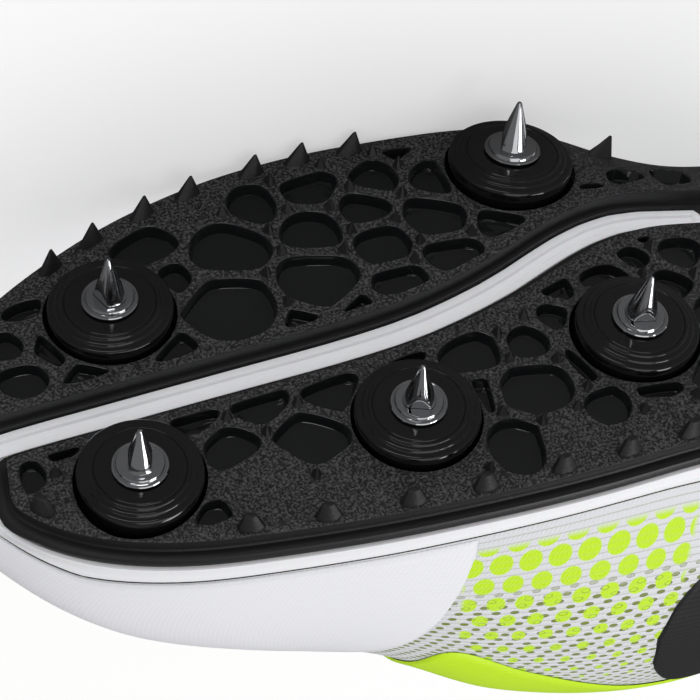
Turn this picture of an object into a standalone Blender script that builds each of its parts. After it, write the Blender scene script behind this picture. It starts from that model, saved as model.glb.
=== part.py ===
"""Track spike shoe for the right foot, empty, lying on its medial side.

The shoe is modelled upright, in millimetres: x runs from the heel end to the toe tip, y points to
the medial side and z points up, with z = 0 at the ball of the tread. At the end every piece is
laid on its medial side, so that the sole faces -Y, the toe points to +X and the floor is z = 0.
"""

import math

import bmesh
import bpy
import numpy as np
from mathutils import Matrix, Vector
from mathutils.geometry import delaunay_2d_cdt

MM = 0.001

# Sizes of the last and the sole, in millimetres
LENGTH = 280.0
BALL_WIDTH = 86.5
TOE_SPRING = 17.0
WAIST_RISE = 5.0
ARCH_RISE = 5.0
EDGE_ROLL = 2.2
HEEL_BEVEL = 4.0
INSTEP_HEIGHT = 88.0

# Layers under the foot
GAP = 0.3
PLATE_BASE = 2.3
WEB_HEIGHT = 2.3
LEDGE = 1.3
LATERAL_LEDGE = 2.4
MIDSOLE_FOREFOOT = 3.0
MIDSOLE_HEEL = 13.0
INSOLE_THICKNESS = 3.0
INSOLE_LIFT = 0.7
CHANNEL_WIDTH = 5.4
CHANNEL_RIB = 1.6
HEEL_PAD_LENGTH = 78.0
PLATE_SEAT = 0.4
HEEL_SEAT = 0.6
LATERAL_PLATE_END = 100.0
MEDIAL_PLATE_END = 122.0

# Honeycomb web and its teeth
WEB_WIDTH = 2.1
RIM_WIDTH = 1.7
STUD_MARGIN = 0.9
CELL_SLACK = 1.18
CORNER_CUT = 1.4
SLIVER = 0.38
HEEL_CELL_PITCH = 13.5
TOOTH_HEIGHT = 4.0
TOOTH_LENGTH = 4.5
TOOTH_DEPTH = 2.2
TOOTH_INSET = 1.5
TOOTH_MARGIN = 0.5
POINT_HEIGHT = 2.0
POINT_RADIUS = 1.7
POINT_MARGIN = 0.25
OUTLINE_PITCH = 6.0

# Studs: a moulded seat and a screwed steel spike
SEAT_RADIUS = 0.1249 * BALL_WIDTH
STUD_SEGMENTS = 24
SEAT_HEIGHT = 2.4
SEAT_STEP = 0.45
SEAT_BORE = 2.7
SEAT_RECESS = 0.15
SPIKE_SHANK = 2.4
SPIKE_FLANGE = 4.9
FLANGE_THICKNESS = 1.3
FLANGE_CLEAR = 0.5
SPIKE_SEGMENTS = 16
SPIKE_BASE = 2.9
SPIKE_FLAT = 2.1
SPIKE_TIP = 0.35
SPIKE_HEIGHT = 9.0
FLAT_TOP = 2.7
SPIKE_DEPTH = 3.0

# Upper and what is fixed to it
WALL = 1.8
OVERLAY = 0.7
OVERLAY_LIFT = 0.6
TOE_FILM_BACK = 0.368
TOE_FILM_TOP = 0.52
EYESTAY_END = 0.590
TONGUE_THICKNESS = 3.0
TONGUE_MARGIN = 5.0
TONGUE_TOP = 20.0
TONGUE_DROP = 2.8
TONGUE_TAPER = 0.9
LACE_WIDTH = 5.0
LACE_THICKNESS = 1.6
LACE_CROSSINGS = 5
LACE_FRONT = 0.716
LACE_BACK = 0.482
LACE_STEP = 3.1
LACE_BOW = 1.2
LACE_LIFT = 0.3
EYELET_INSET = 6.5

# Outline of the plates: shares of LENGTH from the heel end and of BALL_WIDTH from the axis
OUTLINE = (
    (1.000, -0.010), (0.982, 0.139), (0.957, 0.235), (0.929, 0.308), (0.857, 0.400),
    (0.786, 0.444), (0.721, 0.450), (0.661, 0.436), (0.607, 0.420), (0.566, 0.388),
    (0.521, 0.304), (0.471, 0.252), (0.393, 0.242), (0.286, 0.277), (0.171, 0.329), (0.064, 0.283),
    (0.014, 0.139), (0.000, -0.023), (0.014, -0.185), (0.064, -0.324), (0.171, -0.393),
    (0.286, -0.428), (0.411, -0.468), (0.536, -0.520), (0.643, -0.538), (0.750, -0.514),
    (0.839, -0.464), (0.900, -0.408), (0.948, -0.320), (0.980, -0.195),
)

# Middle of the white channel between the plates, in the same shares
CHANNEL_LINE = (
    (1.050, -0.020), (0.964, -0.024), (0.893, -0.038), (0.821, -0.050), (0.750, -0.058),
    (0.696, -0.050), (0.643, -0.014), (0.607, 0.028), (0.571, 0.069), (0.536, 0.092),
    (0.500, 0.090), (0.464, 0.082), (0.430, 0.078), (0.390, 0.075), (0.340, 0.070),
)

# Studs: name, share of LENGTH from the toe, share of BALL_WIDTH from the axis, and the way that
# the spike's two flats face, in degrees from the toe round to the medial side
STUDS = (
    ("toe_lateral", 0.099, -0.228, 22),
    ("toe_medial", 0.130, 0.171, 166),
    ("ball_lateral", 0.269, -0.288, 115),
    ("tread_lateral", 0.421, -0.227, 101),
    ("tread_medial", 0.406, 0.261, 29),
)

# Teeth on the rim, in percent of LENGTH from the toe and of BALL_WIDTH from the axis. Each one is
# moved to the nearest place on the rim. lean: how far its top is moved toward the toe, as a share
# of its length. blunt: size of its top as a share of its foot.
TOOTH_COLUMNS = ("from_toe", "from_axis")
MEDIAL_TEETH = ((11.6, 34), (14.5, 38), (18.2, 41), (21.4, 42), (25.7, 43), (28.8, 42),
                (32.2, 42), (38.4, 38), (44.9, 33), (47.8, 30))
LATERAL_TEETH = ((4.3, -20), (6.3, -29), (14.8, -39), (19.2, -42), (24.4, -45), (28.7, -47),
                 (33.6, -48), (37.9, -49), (42.1, -50))
MEDIAL_LEAN, MEDIAL_BLUNT = -0.18, 0.10
LATERAL_LEAN, LATERAL_BLUNT = 0.08, 0.42

# Honeycomb cells, row by row. from_toe: percent of LENGTH. from_axis, long and wide: percent of
# BALL_WIDTH, where long runs along the shoe.
CELL_COLUMNS = ("from_toe", "from_axis", "long", "wide")
MEDIAL_CELLS = {
    "rim": ((8.6, 25, 8, 4), (13.8, 35, 7, 3), (16.4, 38, 10, 3), (20.6, 37, 13, 8),
            (27.9, 41, 12, 4), (31.4, 39, 10, 4), (34.4, 37, 8, 3)),
    "outer": ((6.5, 17, 5, 8), (17.1, 31, 15, 11), (24.5, 33, 12, 11), (28.0, 33, 14, 9),
              (32.3, 33, 11, 12), (36.2, 27, 15, 11)),
    "middle": ((8.5, 13, 5, 8), (17.7, 21, 8, 10), (21.6, 24, 17, 15), (26.8, 23, 14, 12),
               (30.5, 25, 12, 10), (34.5, 18, 13, 12)),
    "inner": ((6.4, 9, 9, 9), (20.0, 11, 19, 17), (25.5, 11, 17, 14), (30.4, 15, 12, 10),
              (34.1, 8, 12, 8), (38.2, 13, 11, 9), (41.4, 16, 14, 7), (44.8, 16, 7, 3),
              (47.7, 18, 9, 8), (51.0, 19, 8, 7)),
    "channel": ((10.1, 6, 12, 4), (15.4, 5, 12, 5), (23.4, 3, 9, 4), (27.1, 2, 7, 3),
                (30.2, 5, 13, 6)),
}
LATERAL_CELLS = {
    "channel": ((4.1, -13, 5, 8), (6.4, -11, 6, 3), (14.6, -14, 10, 5), (18.5, -15, 12, 8),
                (22.9, -17, 12, 9), (28.1, -14, 10, 4), (34.6, -12, 11, 3), (39.1, -8, 6, 5),
                (42.2, -8, 10, 6), (44.6, -4, 6, 5), (45.9, 2, 6, 4), (48.1, 3, 8, 4),
                (52.0, 1, 12, 11), (56.0, -1, 12, 11)),
    "inner": ((5.1, -21, 5, 5), (15.9, -23, 11, 9), (31.8, -18, 12, 10), (35.4, -19, 8, 8),
              (37.9, -14, 6, 6), (46.2, -12, 8, 7), (48.0, -4, 9, 10), (50.2, -12, 12, 12),
              (54.2, -11, 12, 12), (58.2, -12, 12, 12)),
    "middle": ((20.4, -26, 15, 11), (31.4, -28, 4, 10), (34.6, -30, 13, 12), (38.1, -27, 5, 9),
               (48.4, -22, 12, 12), (52.3, -22, 12, 12), (56.4, -23, 12, 12),
               (60.2, -22, 11, 11)),
    "outer": ((13.2, -35, 8, 4), (16.7, -33, 17, 13), (38.2, -38, 9, 8), (41.8, -37, 9, 4),
              (45.8, -34, 12, 11), (50.2, -33, 12, 11), (54.4, -33, 11, 9)),
    "rim": ((21.9, -39, 14, 10), (26.8, -42, 11, 3), (31.8, -41, 10, 13), (35.2, -43, 8, 10),
            (41.2, -45, 7, 6)),
}

# Ribs of the upper from the toe back to the heel. feather: share of LENGTH where the rib starts.
# rise, bulge, reach and drop shape it, as shares of INSTEP_HEIGHT. open_x, open_y, open_z: where
# it ends at the throat or collar, as shares of LENGTH, BALL_WIDTH and INSTEP_HEIGHT.
RIB_COLUMNS = ("feather", "rise", "bulge", "reach", "drop", "open_x", "open_y", "open_z")
RIBS = (
    (1.000, 0.175, 0.022, 0.600, 0.115, 0.735, 0.000, 0.675),
    (0.965, 0.180, 0.026, 0.520, 0.110, 0.733, 0.026, 0.679),
    (0.890, 0.195, 0.028, 0.430, 0.095, 0.725, 0.068, 0.697),
    (0.795, 0.262, 0.036, 0.375, 0.075, 0.703, 0.115, 0.740),
    (0.680, 0.440, 0.070, 0.365, 0.060, 0.650, 0.170, 0.850),
    (0.560, 0.560, 0.070, 0.290, 0.065, 0.562, 0.215, 0.970),
    (0.455, 0.500, 0.025, 0.180, 0.130, 0.462, 0.255, 1.040),
    (0.345, 0.330, 0.012, 0.085, 0.190, 0.350, 0.310, 0.900),
    (0.215, 0.250, 0.010, 0.050, 0.220, 0.215, 0.325, 0.780),
    (0.085, 0.260, 0.018, 0.030, 0.230, 0.085, 0.255, 0.850),
    (0.000, 0.300, 0.040, 0.030, 0.180, 0.022, 0.000, 0.960),
)

# Lower edge of the neon eyestay: place around the foot, with 0 at the toe and 1 at the heel, and
# share of the way up from the sole to the throat
EYESTAY_COLUMNS = ("around", "up")
EYESTAY_EDGE = (
    (0.000, 0.860), (0.200, 0.835), (0.275, 0.760), (0.325, 0.520), (0.360, 0.345),
    (0.410, 0.420), (0.450, 0.500), (0.490, 0.585), (0.550, 0.690), (0.595, 0.780),
)

# Black quarter around the heel, in the same places and shares
QUARTER_FRONT = 0.488
QUARTER_ROUND = 0.075
QUARTER_LOW = 0.15
QUARTER_HIGH = 0.66
QUARTER_HEEL_HIGH = 0.84

COLOURS = {
    "plate_black": ((0.012, 0.012, 0.013), 0.55, 0.0),
    "seat_black": ((0.006, 0.006, 0.007), 0.12, 0.0),
    "steel": ((0.80, 0.80, 0.82), 0.12, 1.0),
    "foam_white": ((0.80, 0.80, 0.82), 0.50, 0.0),
    "mesh_white": ((0.74, 0.74, 0.76), 0.80, 0.0),
    "film_white": ((0.82, 0.82, 0.85), 0.45, 0.0),
    "neon": ((0.62, 0.95, 0.01), 0.55, 0.0),
    "quarter_black": ((0.010, 0.010, 0.011), 0.75, 0.0),
    "insole_grey": ((0.25, 0.25, 0.26), 0.85, 0.0),
}


def clear_scene():
    for old in list(bpy.data.objects):
        bpy.data.objects.remove(old)


def material(name):
    """The piece's finish as a Principled BSDF."""
    made = bpy.data.materials.get(name)
    if made is None:
        colour, roughness, metallic = COLOURS[name]
        made = bpy.data.materials.new(name)
        made.use_nodes = True
        shader = made.node_tree.nodes["Principled BSDF"]
        shader.inputs["Base Color"].default_value = (*colour, 1.0)
        shader.inputs["Roughness"].default_value = roughness
        shader.inputs["Metallic"].default_value = metallic
    return made


def spline(points, per_span, closed):
    """Points on the Catmull-Rom curve through the given ones."""
    p = np.array(points, float)
    count = len(p)
    spans = count if closed else count - 1
    out = []
    for i in range(spans):
        if closed:
            a, b, c, d = p[i - 1], p[i], p[(i + 1) % count], p[(i + 2) % count]
        else:
            a, b, c, d = p[max(i - 1, 0)], p[i], p[i + 1], p[min(i + 2, count - 1)]
        for k in range(per_span):
            t = k / per_span
            out.append(0.5 * (2 * b + (c - a) * t + (2 * a - 5 * b + 4 * c - d) * t * t
                              + (3 * b - a - 3 * c + d) * t ** 3))
    if not closed:
        out.append(p[-1])
    return np.array(out)


def spaced(line, pitch, closed):
    """The line with its points moved to an even spacing near pitch."""
    run = np.vstack([line, line[:1]]) if closed else line
    travel = np.concatenate([[0.0], np.cumsum(np.linalg.norm(np.diff(run, axis=0), axis=1))])
    count = max(int(round(travel[-1] / pitch)), 3)
    stops = np.linspace(0.0, travel[-1], count + 1)
    if closed:
        stops = stops[:-1]
    return np.stack([np.interp(stops, travel, run[:, i]) for i in range(2)], axis=1)


OUTER = spline([(a * LENGTH, b * BALL_WIDTH) for a, b in OUTLINE], 10, True)
CHANNEL = spline([(a * LENGTH, b * BALL_WIDTH) for a, b in CHANNEL_LINE], 8, False)


def area_of(polygon):
    x, y = polygon[:, 0], polygon[:, 1]
    return 0.5 * float(np.sum(x * np.roll(y, -1) - np.roll(x, -1) * y))


def inset(polygon, distance):
    """A counter-clockwise polygon moved inwards, point by point."""
    along = np.roll(polygon, -1, axis=0) - np.roll(polygon, 1, axis=0)
    along /= np.linalg.norm(along, axis=1)[:, None]
    return polygon + np.stack([-along[:, 1], along[:, 0]], axis=1) * distance


def half_width(side):
    """Half width of the plates at even stations along the length, on one side of the axis."""
    stations = np.linspace(0.0, LENGTH, 141)
    edge = OUTER[OUTER[:, 1] * side >= -0.02 * BALL_WIDTH]
    edge = edge[np.argsort(edge[:, 0])]
    return stations, np.interp(stations, edge[:, 0], np.abs(edge[:, 1]))


HALF_WIDTHS = {side: half_width(side) for side in (1, -1)}


def datum(x, y):
    """Height of the plates' upper side, where they meet the midsole."""
    toe = max((x / LENGTH - 0.54) / 0.46, 0.0)
    waist = min(max((x / LENGTH - 0.22) / 0.38, 0.0), 1.0)
    heel = max(1.0 - x / (0.12 * LENGTH), 0.0)
    stations, widths = HALF_WIDTHS[1 if y >= 0 else -1]
    across = min(abs(y) / max(float(np.interp(x, stations, widths)), 0.13 * BALL_WIDTH), 1.25)
    arch = math.exp(-(((x / LENGTH) - 0.47) / 0.16) ** 2) if y > 0 else 0.0
    return (PLATE_BASE + WEB_HEIGHT + TOE_SPRING * toe ** 1.6
            + WAIST_RISE * math.sin(math.pi * waist) ** 2 + HEEL_BEVEL * heel ** 2
            + EDGE_ROLL * across ** 3 + ARCH_RISE * arch * across ** 1.6)


def sole_normal(x, y):
    step = 0.5
    slope_x = (datum(x + step, y) - datum(x - step, y)) / (2 * step)
    slope_y = (datum(x, y + step) - datum(x, y - step)) / (2 * step)
    return Vector((-slope_x, -slope_y, 1.0)).normalized()


def under(x, y, depth):
    """The point that lies depth below the datum surface, square to it."""
    return Vector((x, y, datum(x, y))) - sole_normal(x, y) * depth


def inside(point, polygon):
    x, y = point
    px, py = polygon[:, 0], polygon[:, 1]
    qx, qy = np.roll(px, -1), np.roll(py, -1)
    crosses = (py > y) != (qy > y)
    with np.errstate(divide="ignore", invalid="ignore"):
        at = px + (y - py) * (qx - px) / (qy - py)
    return bool(np.count_nonzero(crosses & (at > x)) % 2)


def clip(polygon, normal, offset):
    """The part of a polygon where normal . p >= offset."""
    out = []
    count = len(polygon)
    for i in range(count):
        a, b = polygon[i], polygon[(i + 1) % count]
        da, db = float(normal @ a) - offset, float(normal @ b) - offset
        if da >= 0:
            out.append(a)
        if (da >= 0) != (db >= 0):
            out.append(a + (b - a) * (da / (da - db)))
    return np.array(out)


def cut_corners(polygon, cut):
    """Each sharp corner replaced by two points, and edges too short for that joined."""
    merged = [p for i, p in enumerate(polygon)
              if np.linalg.norm(p - polygon[i - 1]) > 0.6 * cut]
    out = []
    count = len(merged)
    for i in range(count):
        arms = [merged[i - 1] - merged[i], merged[(i + 1) % count] - merged[i]]
        lengths = [float(np.linalg.norm(arm)) + 1e-9 for arm in arms]
        if arms[0] @ arms[1] < -0.72 * lengths[0] * lengths[1]:
            out.append(merged[i])
            continue
        out += [merged[i] + arm / length * min(cut, 0.33 * length)
                for arm, length in zip(arms, lengths)]
    return np.array(out)


def stud_circle(place, radius):
    """A circle around a stud, with the same corners for the well and for the seat in it."""
    turn = np.linspace(0, 2 * math.pi, STUD_SEGMENTS, endpoint=False)
    return place + np.stack([np.cos(turn), np.sin(turn)], axis=1) * radius


def stud_places():
    """Each stud's name and its place on the sole."""
    return [(name, np.array([LENGTH * (1 - s), BALL_WIDTH * y])) for name, s, y, _ in STUDS]


def charted(chart):
    """Each charted cell's middle and its half length and half width."""
    cells = [dict(zip(CELL_COLUMNS, row)) for rows in chart.values() for row in rows]
    return [(np.array([LENGTH * (1 - c["from_toe"] / 100), BALL_WIDTH * c["from_axis"] / 100]),
             np.array([c["long"], c["wide"]]) * BALL_WIDTH / 200) for c in cells]


def reach_of(half, direction):
    """How far an ellipse with these half sizes reaches in a direction."""
    return 1.0 / float(np.linalg.norm(direction / half))


def honeycomb(seeds, border, obstacles):
    """The cells around the seeds, kept off the border and the obstacles, and the corners where
    webs could meet. A border edge between two cells divides the way by the cells' sizes."""
    edges = []
    for i, a in enumerate(border):
        along = border[(i + 1) % len(border)] - a
        inward = np.array([-along[1], along[0]]) / np.linalg.norm(along)
        edges.append((a + along / 2, inward))
    turn = np.linspace(0, 2 * math.pi, 9, endpoint=False) + 0.1
    circle = np.stack([np.cos(turn), np.sin(turn)], axis=1)
    cells, corners = [], []
    for i, (seed, half) in enumerate(seeds):
        cell, full = seed + circle * half * CELL_SLACK, seed + circle * (half + WEB_WIDTH) * 1.3
        for j, (other, size) in enumerate(seeds):
            apart = float(np.linalg.norm(seed - other))
            if i == j or apart > half.max() + size.max() + 2 * WEB_WIDTH:
                continue
            away = (other - seed) / apart
            mine, theirs = reach_of(half, away), reach_of(size, away)
            limit = float(-away @ seed) - apart * mine / (mine + theirs)
            cell = clip(cell, -away, limit + WEB_WIDTH / 2)
            full = clip(full, -away, limit)
        for place, radius in obstacles:
            toward = seed - place
            apart = float(np.linalg.norm(toward))
            if len(cell) and apart < half.max() * CELL_SLACK + radius:
                toward /= apart
                cell = clip(cell, toward, float(toward @ place) + radius)
        for place, inward in edges:
            if np.linalg.norm(place - seed) < half.max() + 2 * OUTLINE_PITCH and len(cell):
                cell = clip(cell, inward, float(inward @ place) + RIM_WIDTH)
        corners.extend(full)
        cut = cut_corners(cell, min(CORNER_CUT, 0.3 * half.min())) if len(cell) > 2 else cell
        if len(cut) > 5:
            around = np.linalg.norm(cut - np.roll(cut, 1, axis=0), axis=1).sum()
            if 4 * math.pi * area_of(cut) > SLIVER * around ** 2:
                cells.append(cut)
    return cells, corners


def distance_to(point, loop):
    """Distance from a point to a closed line."""
    after = np.roll(loop, -1, axis=0) - loop
    share = np.sum((point - loop) * after, axis=1) / np.sum(after * after, axis=1)
    nearest = loop + after * np.clip(share, 0.0, 1.0)[:, None]
    return float(np.linalg.norm(point - nearest, axis=1).min())


def clear_of(points, loops, margin):
    """Whether a small outline keeps off every loop by a margin."""
    for loop in loops:
        if np.abs(loop - points.mean(axis=0)).min() > 3 * TOOTH_LENGTH:
            continue
        if any(inside(p, loop) or distance_to(p, loop) < margin for p in points):
            return False
        if any(inside(p, points) or distance_to(p, points) < margin for p in loop):
            return False
    return True


def web_points(corners, seeds, loops, web):
    """Feet of the small pyramids: three-cornered, one arm along each web that meets there."""
    feet = []
    for corner in corners:
        if any(np.linalg.norm(corner - foot.mean(axis=0)) < 2.4 * POINT_RADIUS for foot in feet):
            continue
        near = sorted((s for s, _ in seeds), key=lambda s: np.linalg.norm(s - corner))[:3]
        webs = []
        for k in range(3):
            a, b, c = near[k], near[(k + 1) % 3], near[(k + 2) % 3]
            along = np.array([-(b - a)[1], (b - a)[0]]) / np.linalg.norm(b - a)
            webs.append(along if along @ (c - corner) < 0 else -along)
        webs.sort(key=lambda w: math.atan2(w[1], w[0]))
        foot = np.array([corner + w * POINT_RADIUS for w in webs])
        studs_off = all(np.linalg.norm(p - stud) > SEAT_RADIUS + STUD_MARGIN
                        for p in foot for _, stud in stud_places())
        if (area_of(foot) > 0.8 * POINT_RADIUS ** 2 and studs_off
                and all(inside(p, web) and distance_to(p, web) > 0.5 for p in foot)
                and clear_of(foot, loops + feet, POINT_MARGIN)):
            feet.append(foot)
    return feet


def rim_teeth(web, chart, lean, blunt):
    """Foot and top outlines of the teeth that stand along one side's rim."""
    line = spaced(inset(web, TOOTH_INSET), 0.5, True)
    ways = np.roll(line, -1, axis=0) - np.roll(line, 1, axis=0)
    teeth = []
    for row in chart:
        tooth = dict(zip(TOOTH_COLUMNS, row))
        wanted = np.array([LENGTH * (1 - tooth["from_toe"] / 100),
                           BALL_WIDTH * tooth["from_axis"] / 100])
        nearest = int(np.argmin(np.linalg.norm(line - wanted, axis=1)))
        along = ways[nearest] / np.linalg.norm(ways[nearest])
        if along[0] < 0:
            along = -along
        across = np.array([-along[1], along[0]])
        middle = line[nearest] - along * lean * TOOTH_LENGTH
        foot = np.array([middle + along * u * TOOTH_LENGTH / 2 + across * v * TOOTH_DEPTH / 2
                         for u, v in ((-1, -1), (1, -1), (1, 1), (-1, 1))])
        off_studs = all(np.linalg.norm(p - stud) > SEAT_RADIUS + STUD_MARGIN
                        for p in foot for _, stud in stud_places())
        if off_studs and all(inside(p, web) and distance_to(p, web) > 0.2 for p in foot):
            teeth.append((foot, line[nearest] + (foot - middle) * blunt))
    return teeth


def triangles_in(loops, extra=()):
    """Triangles of the area inside the first loop and outside the others, as point indices."""
    points = [p for loop in loops for p in loop] + list(extra)
    edges, start = [], 0
    for loop in loops:
        count = len(loop)
        edges += [(start + k, start + (k + 1) % count) for k in range(count)]
        start += count
    flat = [Vector((float(p[0]), float(p[1]))) for p in points]
    out, _, faces, origin, _, _ = delaunay_2d_cdt(flat, edges, [], 0, 1e-6)
    kept = []
    for face in faces:
        corners = np.array([out[i] for i in face])
        middle = corners.mean(axis=0)
        if abs(area_of(corners)) > 0.005 and inside(middle, loops[0]) and not any(
                inside(middle, hole) for hole in loops[1:]
                if (hole.min(axis=0) < middle).all() and (middle < hole.max(axis=0)).all()):
            kept.append([origin[i][0] for i in face])
    return kept


def grid_inside(polygon, pitch):
    low, high = polygon.min(axis=0), polygon.max(axis=0)
    margin = inset(polygon, 0.45 * pitch)
    return [np.array([x, y])
            for x in np.arange(low[0] + pitch / 2, high[0], pitch)
            for y in np.arange(low[1] + pitch / 2, high[1], pitch)
            if inside((x, y), margin)]


class Shell:
    """A mesh that is put together from rings and filled faces."""

    def __init__(self):
        self.mesh = bmesh.new()

    def ring(self, points):
        return [self.mesh.verts.new(p * MM) for p in points]

    def wall(self, low, high, closed=True):
        count = len(low)
        for k in range(count if closed else count - 1):
            n = (k + 1) % count
            self.mesh.faces.new((low[k], low[n], high[n], high[k]))

    def fill(self, rings, loops, extra=(), place=None):
        verts = [v for ring in rings for v in ring] + [
            self.mesh.verts.new(place(*p) * MM) for p in extra]
        for face in triangles_in(loops, extra):
            self.mesh.faces.new([verts[i] for i in face])

    def fan(self, ring, tip=None):
        """Triangles from a ring to a tip, which is the ring's own middle if none is given."""
        middle = sum((v.co for v in ring), Vector()) / len(ring)
        point = self.mesh.verts.new(tip * MM if tip else middle)
        count = len(ring)
        for k in range(count):
            self.mesh.faces.new((ring[k], ring[(k + 1) % count], point))

    def finish(self, name, finish, smooth_angle=35.0):
        bmesh.ops.triangulate(self.mesh, faces=[f for f in self.mesh.faces if len(f.verts) > 3])
        bmesh.ops.recalc_face_normals(self.mesh, faces=self.mesh.faces)
        if self.mesh.calc_volume(signed=True) < 0:
            bmesh.ops.reverse_faces(self.mesh, faces=self.mesh.faces)
        data = bpy.data.meshes.new(name)
        self.mesh.to_mesh(data)
        self.mesh.free()
        data.shade_smooth()
        data.set_sharp_from_angle(angle=math.radians(smooth_angle))
        made = bpy.data.objects.new(name, data)
        made.data.materials.append(material(finish))
        bpy.context.scene.collection.objects.link(made)
        return made


def channel_side(side):
    """One side of the channel, from the toe back."""
    along = np.gradient(CHANNEL, axis=0)
    along /= np.linalg.norm(along, axis=1)[:, None]
    across = np.stack([along[:, 1], -along[:, 0]], axis=1)
    return CHANNEL + across * side * CHANNEL_WIDTH / 2


def stretch(line, high, low):
    """The part of a line between two stations, from the higher x to the lower."""
    line = line[np.argsort(-line[:, 0], kind="stable")]
    return line[(line[:, 0] < high) & (line[:, 0] > low)]


def joined(parts, pitch, radius):
    """A counter-clockwise outline from open stretches, with the joints between them rounded."""
    points = np.vstack([spaced(part, pitch, False) for part in parts])
    if area_of(points) < 0:
        points = points[::-1]
    ends = {tuple(np.round(p, 6)) for part in parts for p in (part[0], part[-1])}
    out = []
    count = len(points)
    for i, here in enumerate(points):
        if tuple(np.round(here, 6)) not in ends:
            out.append(here)
            continue
        before, after = points[i - 1], points[(i + 1) % count]
        out.append(here * 0.5 + (before + after) * 0.25)
    out = np.array(out)
    keep = np.linalg.norm(out - np.roll(out, 1, axis=0), axis=1) > 0.25 * pitch
    return spaced(smoothed(out[keep], radius), pitch, True)


def smoothed(polygon, radius):
    """Corners eased by averaging over about the given radius."""
    fine = spaced(polygon, radius / 4, True)
    for _ in range(6):
        fine = (np.roll(fine, 1, axis=0) + fine * 2 + np.roll(fine, -1, axis=0)) / 4
    return fine


def medial_outline(pitch):
    """Outline of the medial plate: from the toe along the rim, and back along the channel."""
    rim = stretch(OUTER[OUTER[:, 1] > 0.02 * BALL_WIDTH], 0.992 * LENGTH, MEDIAL_PLATE_END)
    inner = stretch(channel_side(1), 0.985 * LENGTH, MEDIAL_PLATE_END + 0.02 * LENGTH)
    inner = inner[[inside(p, OUTER) for p in inner]]
    return joined([rim, inner[::-1]], pitch, 5.0)


def lateral_outline(pitch):
    """Outline of the lateral plate, which runs on under the arch."""
    rim = stretch(OUTER[OUTER[:, 1] < -0.03 * BALL_WIDTH], 0.985 * LENGTH,
                  LATERAL_PLATE_END + 0.02 * LENGTH)
    inner = stretch(channel_side(-1), 0.975 * LENGTH, LATERAL_PLATE_END)
    inner = inner[[inside(p, inset(OUTER, 2.0)) for p in inner]]
    return joined([rim, inner[::-1]], pitch, 5.0)


def heel_outline(pitch):
    """Outline of the rubber pad under the heel."""
    edge = inset(OUTER, 0.6)
    back = edge[edge[:, 0] < HEEL_PAD_LENGTH]
    first = np.argmax(np.linalg.norm(back - np.roll(back, 1, axis=0), axis=1))
    return joined([np.roll(back, -first, axis=0)], pitch, 6.0)


def plate(name, outline, ledge, cells, teeth, points, sunk=PLATE_SEAT, studs=()):
    """A sole plate: a base, a ledge, and a web with pockets, stud wells and teeth."""
    base = PLATE_BASE
    deep = base + WEB_HEIGHT
    web = inset(outline, ledge)
    wells = [stud_circle(place, SEAT_RADIUS + GAP) for place in studs]
    shell = Shell()
    top = shell.ring([under(*p, sunk) for p in outline])
    low = shell.ring([under(*p, base) for p in outline])
    step = shell.ring([under(*p, base) for p in web])
    rim = shell.ring([under(*p, deep) for p in web])
    shell.wall(top, low)
    shell.wall(low, step)
    shell.wall(step, rim)
    shell.fill([top], [outline], grid_inside(outline, 11.0), lambda x, y: under(x, y, sunk))
    loops, rings = [web], [rim]
    for cell in cells + wells:
        mouth = shell.ring([under(*p, deep) for p in cell])
        floor = shell.ring([under(*p, base) for p in cell])
        shell.wall(mouth, floor)
        shell.fan(floor)
        loops.append(cell)
        rings.append(mouth)
    for foot, end in teeth:
        rings.append(shell.ring([under(*p, deep) for p in foot]))
        loops.append(foot)
        tip = shell.ring([under(*p, deep + TOOTH_HEIGHT) for p in end])
        shell.wall(rings[-1], tip)
        shell.mesh.faces.new(tip)
    for foot in points:
        rings.append(shell.ring([under(*p, deep) for p in foot]))
        loops.append(foot)
        shell.fan(rings[-1], under(*foot.mean(axis=0), deep + POINT_HEIGHT))
    shell.fill(rings, loops)
    return shell.finish(name, "plate_black")


def forefoot_plates():
    """The two black plates, split by the channel, with their honeycomb and teeth."""
    sides = (
        ("plate_medial", medial_outline(OUTLINE_PITCH), LEDGE, MEDIAL_CELLS, MEDIAL_TEETH,
         MEDIAL_LEAN, MEDIAL_BLUNT, 0.78),
        ("plate_lateral", lateral_outline(OUTLINE_PITCH), LATERAL_LEDGE, LATERAL_CELLS,
         LATERAL_TEETH, LATERAL_LEAN, LATERAL_BLUNT, 0.96),
    )
    for name, outline, ledge, chart, tooth_chart, lean, blunt, points_from in sides:
        web = inset(outline, ledge)
        teeth = rim_teeth(web, tooth_chart, lean, blunt)
        feet = [foot for foot, _ in teeth]
        obstacles = [(place, SEAT_RADIUS + STUD_MARGIN) for _, place in stud_places()]
        obstacles += [(foot.mean(axis=0), TOOTH_DEPTH / 2 + TOOTH_MARGIN) for foot in feet]
        seeds = charted(chart)
        cells, corners = honeycomb(seeds, web, obstacles)
        cells = [cell for cell in cells if clear_of(cell, feet, POINT_MARGIN)]
        corners = [c for c in corners if c[0] < points_from * LENGTH]
        points = web_points(corners, seeds, cells + feet, web)
        studs = [place for _, place in stud_places() if inside(place, web)]
        plate(name, outline, ledge, cells, teeth, points, studs=studs)


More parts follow.
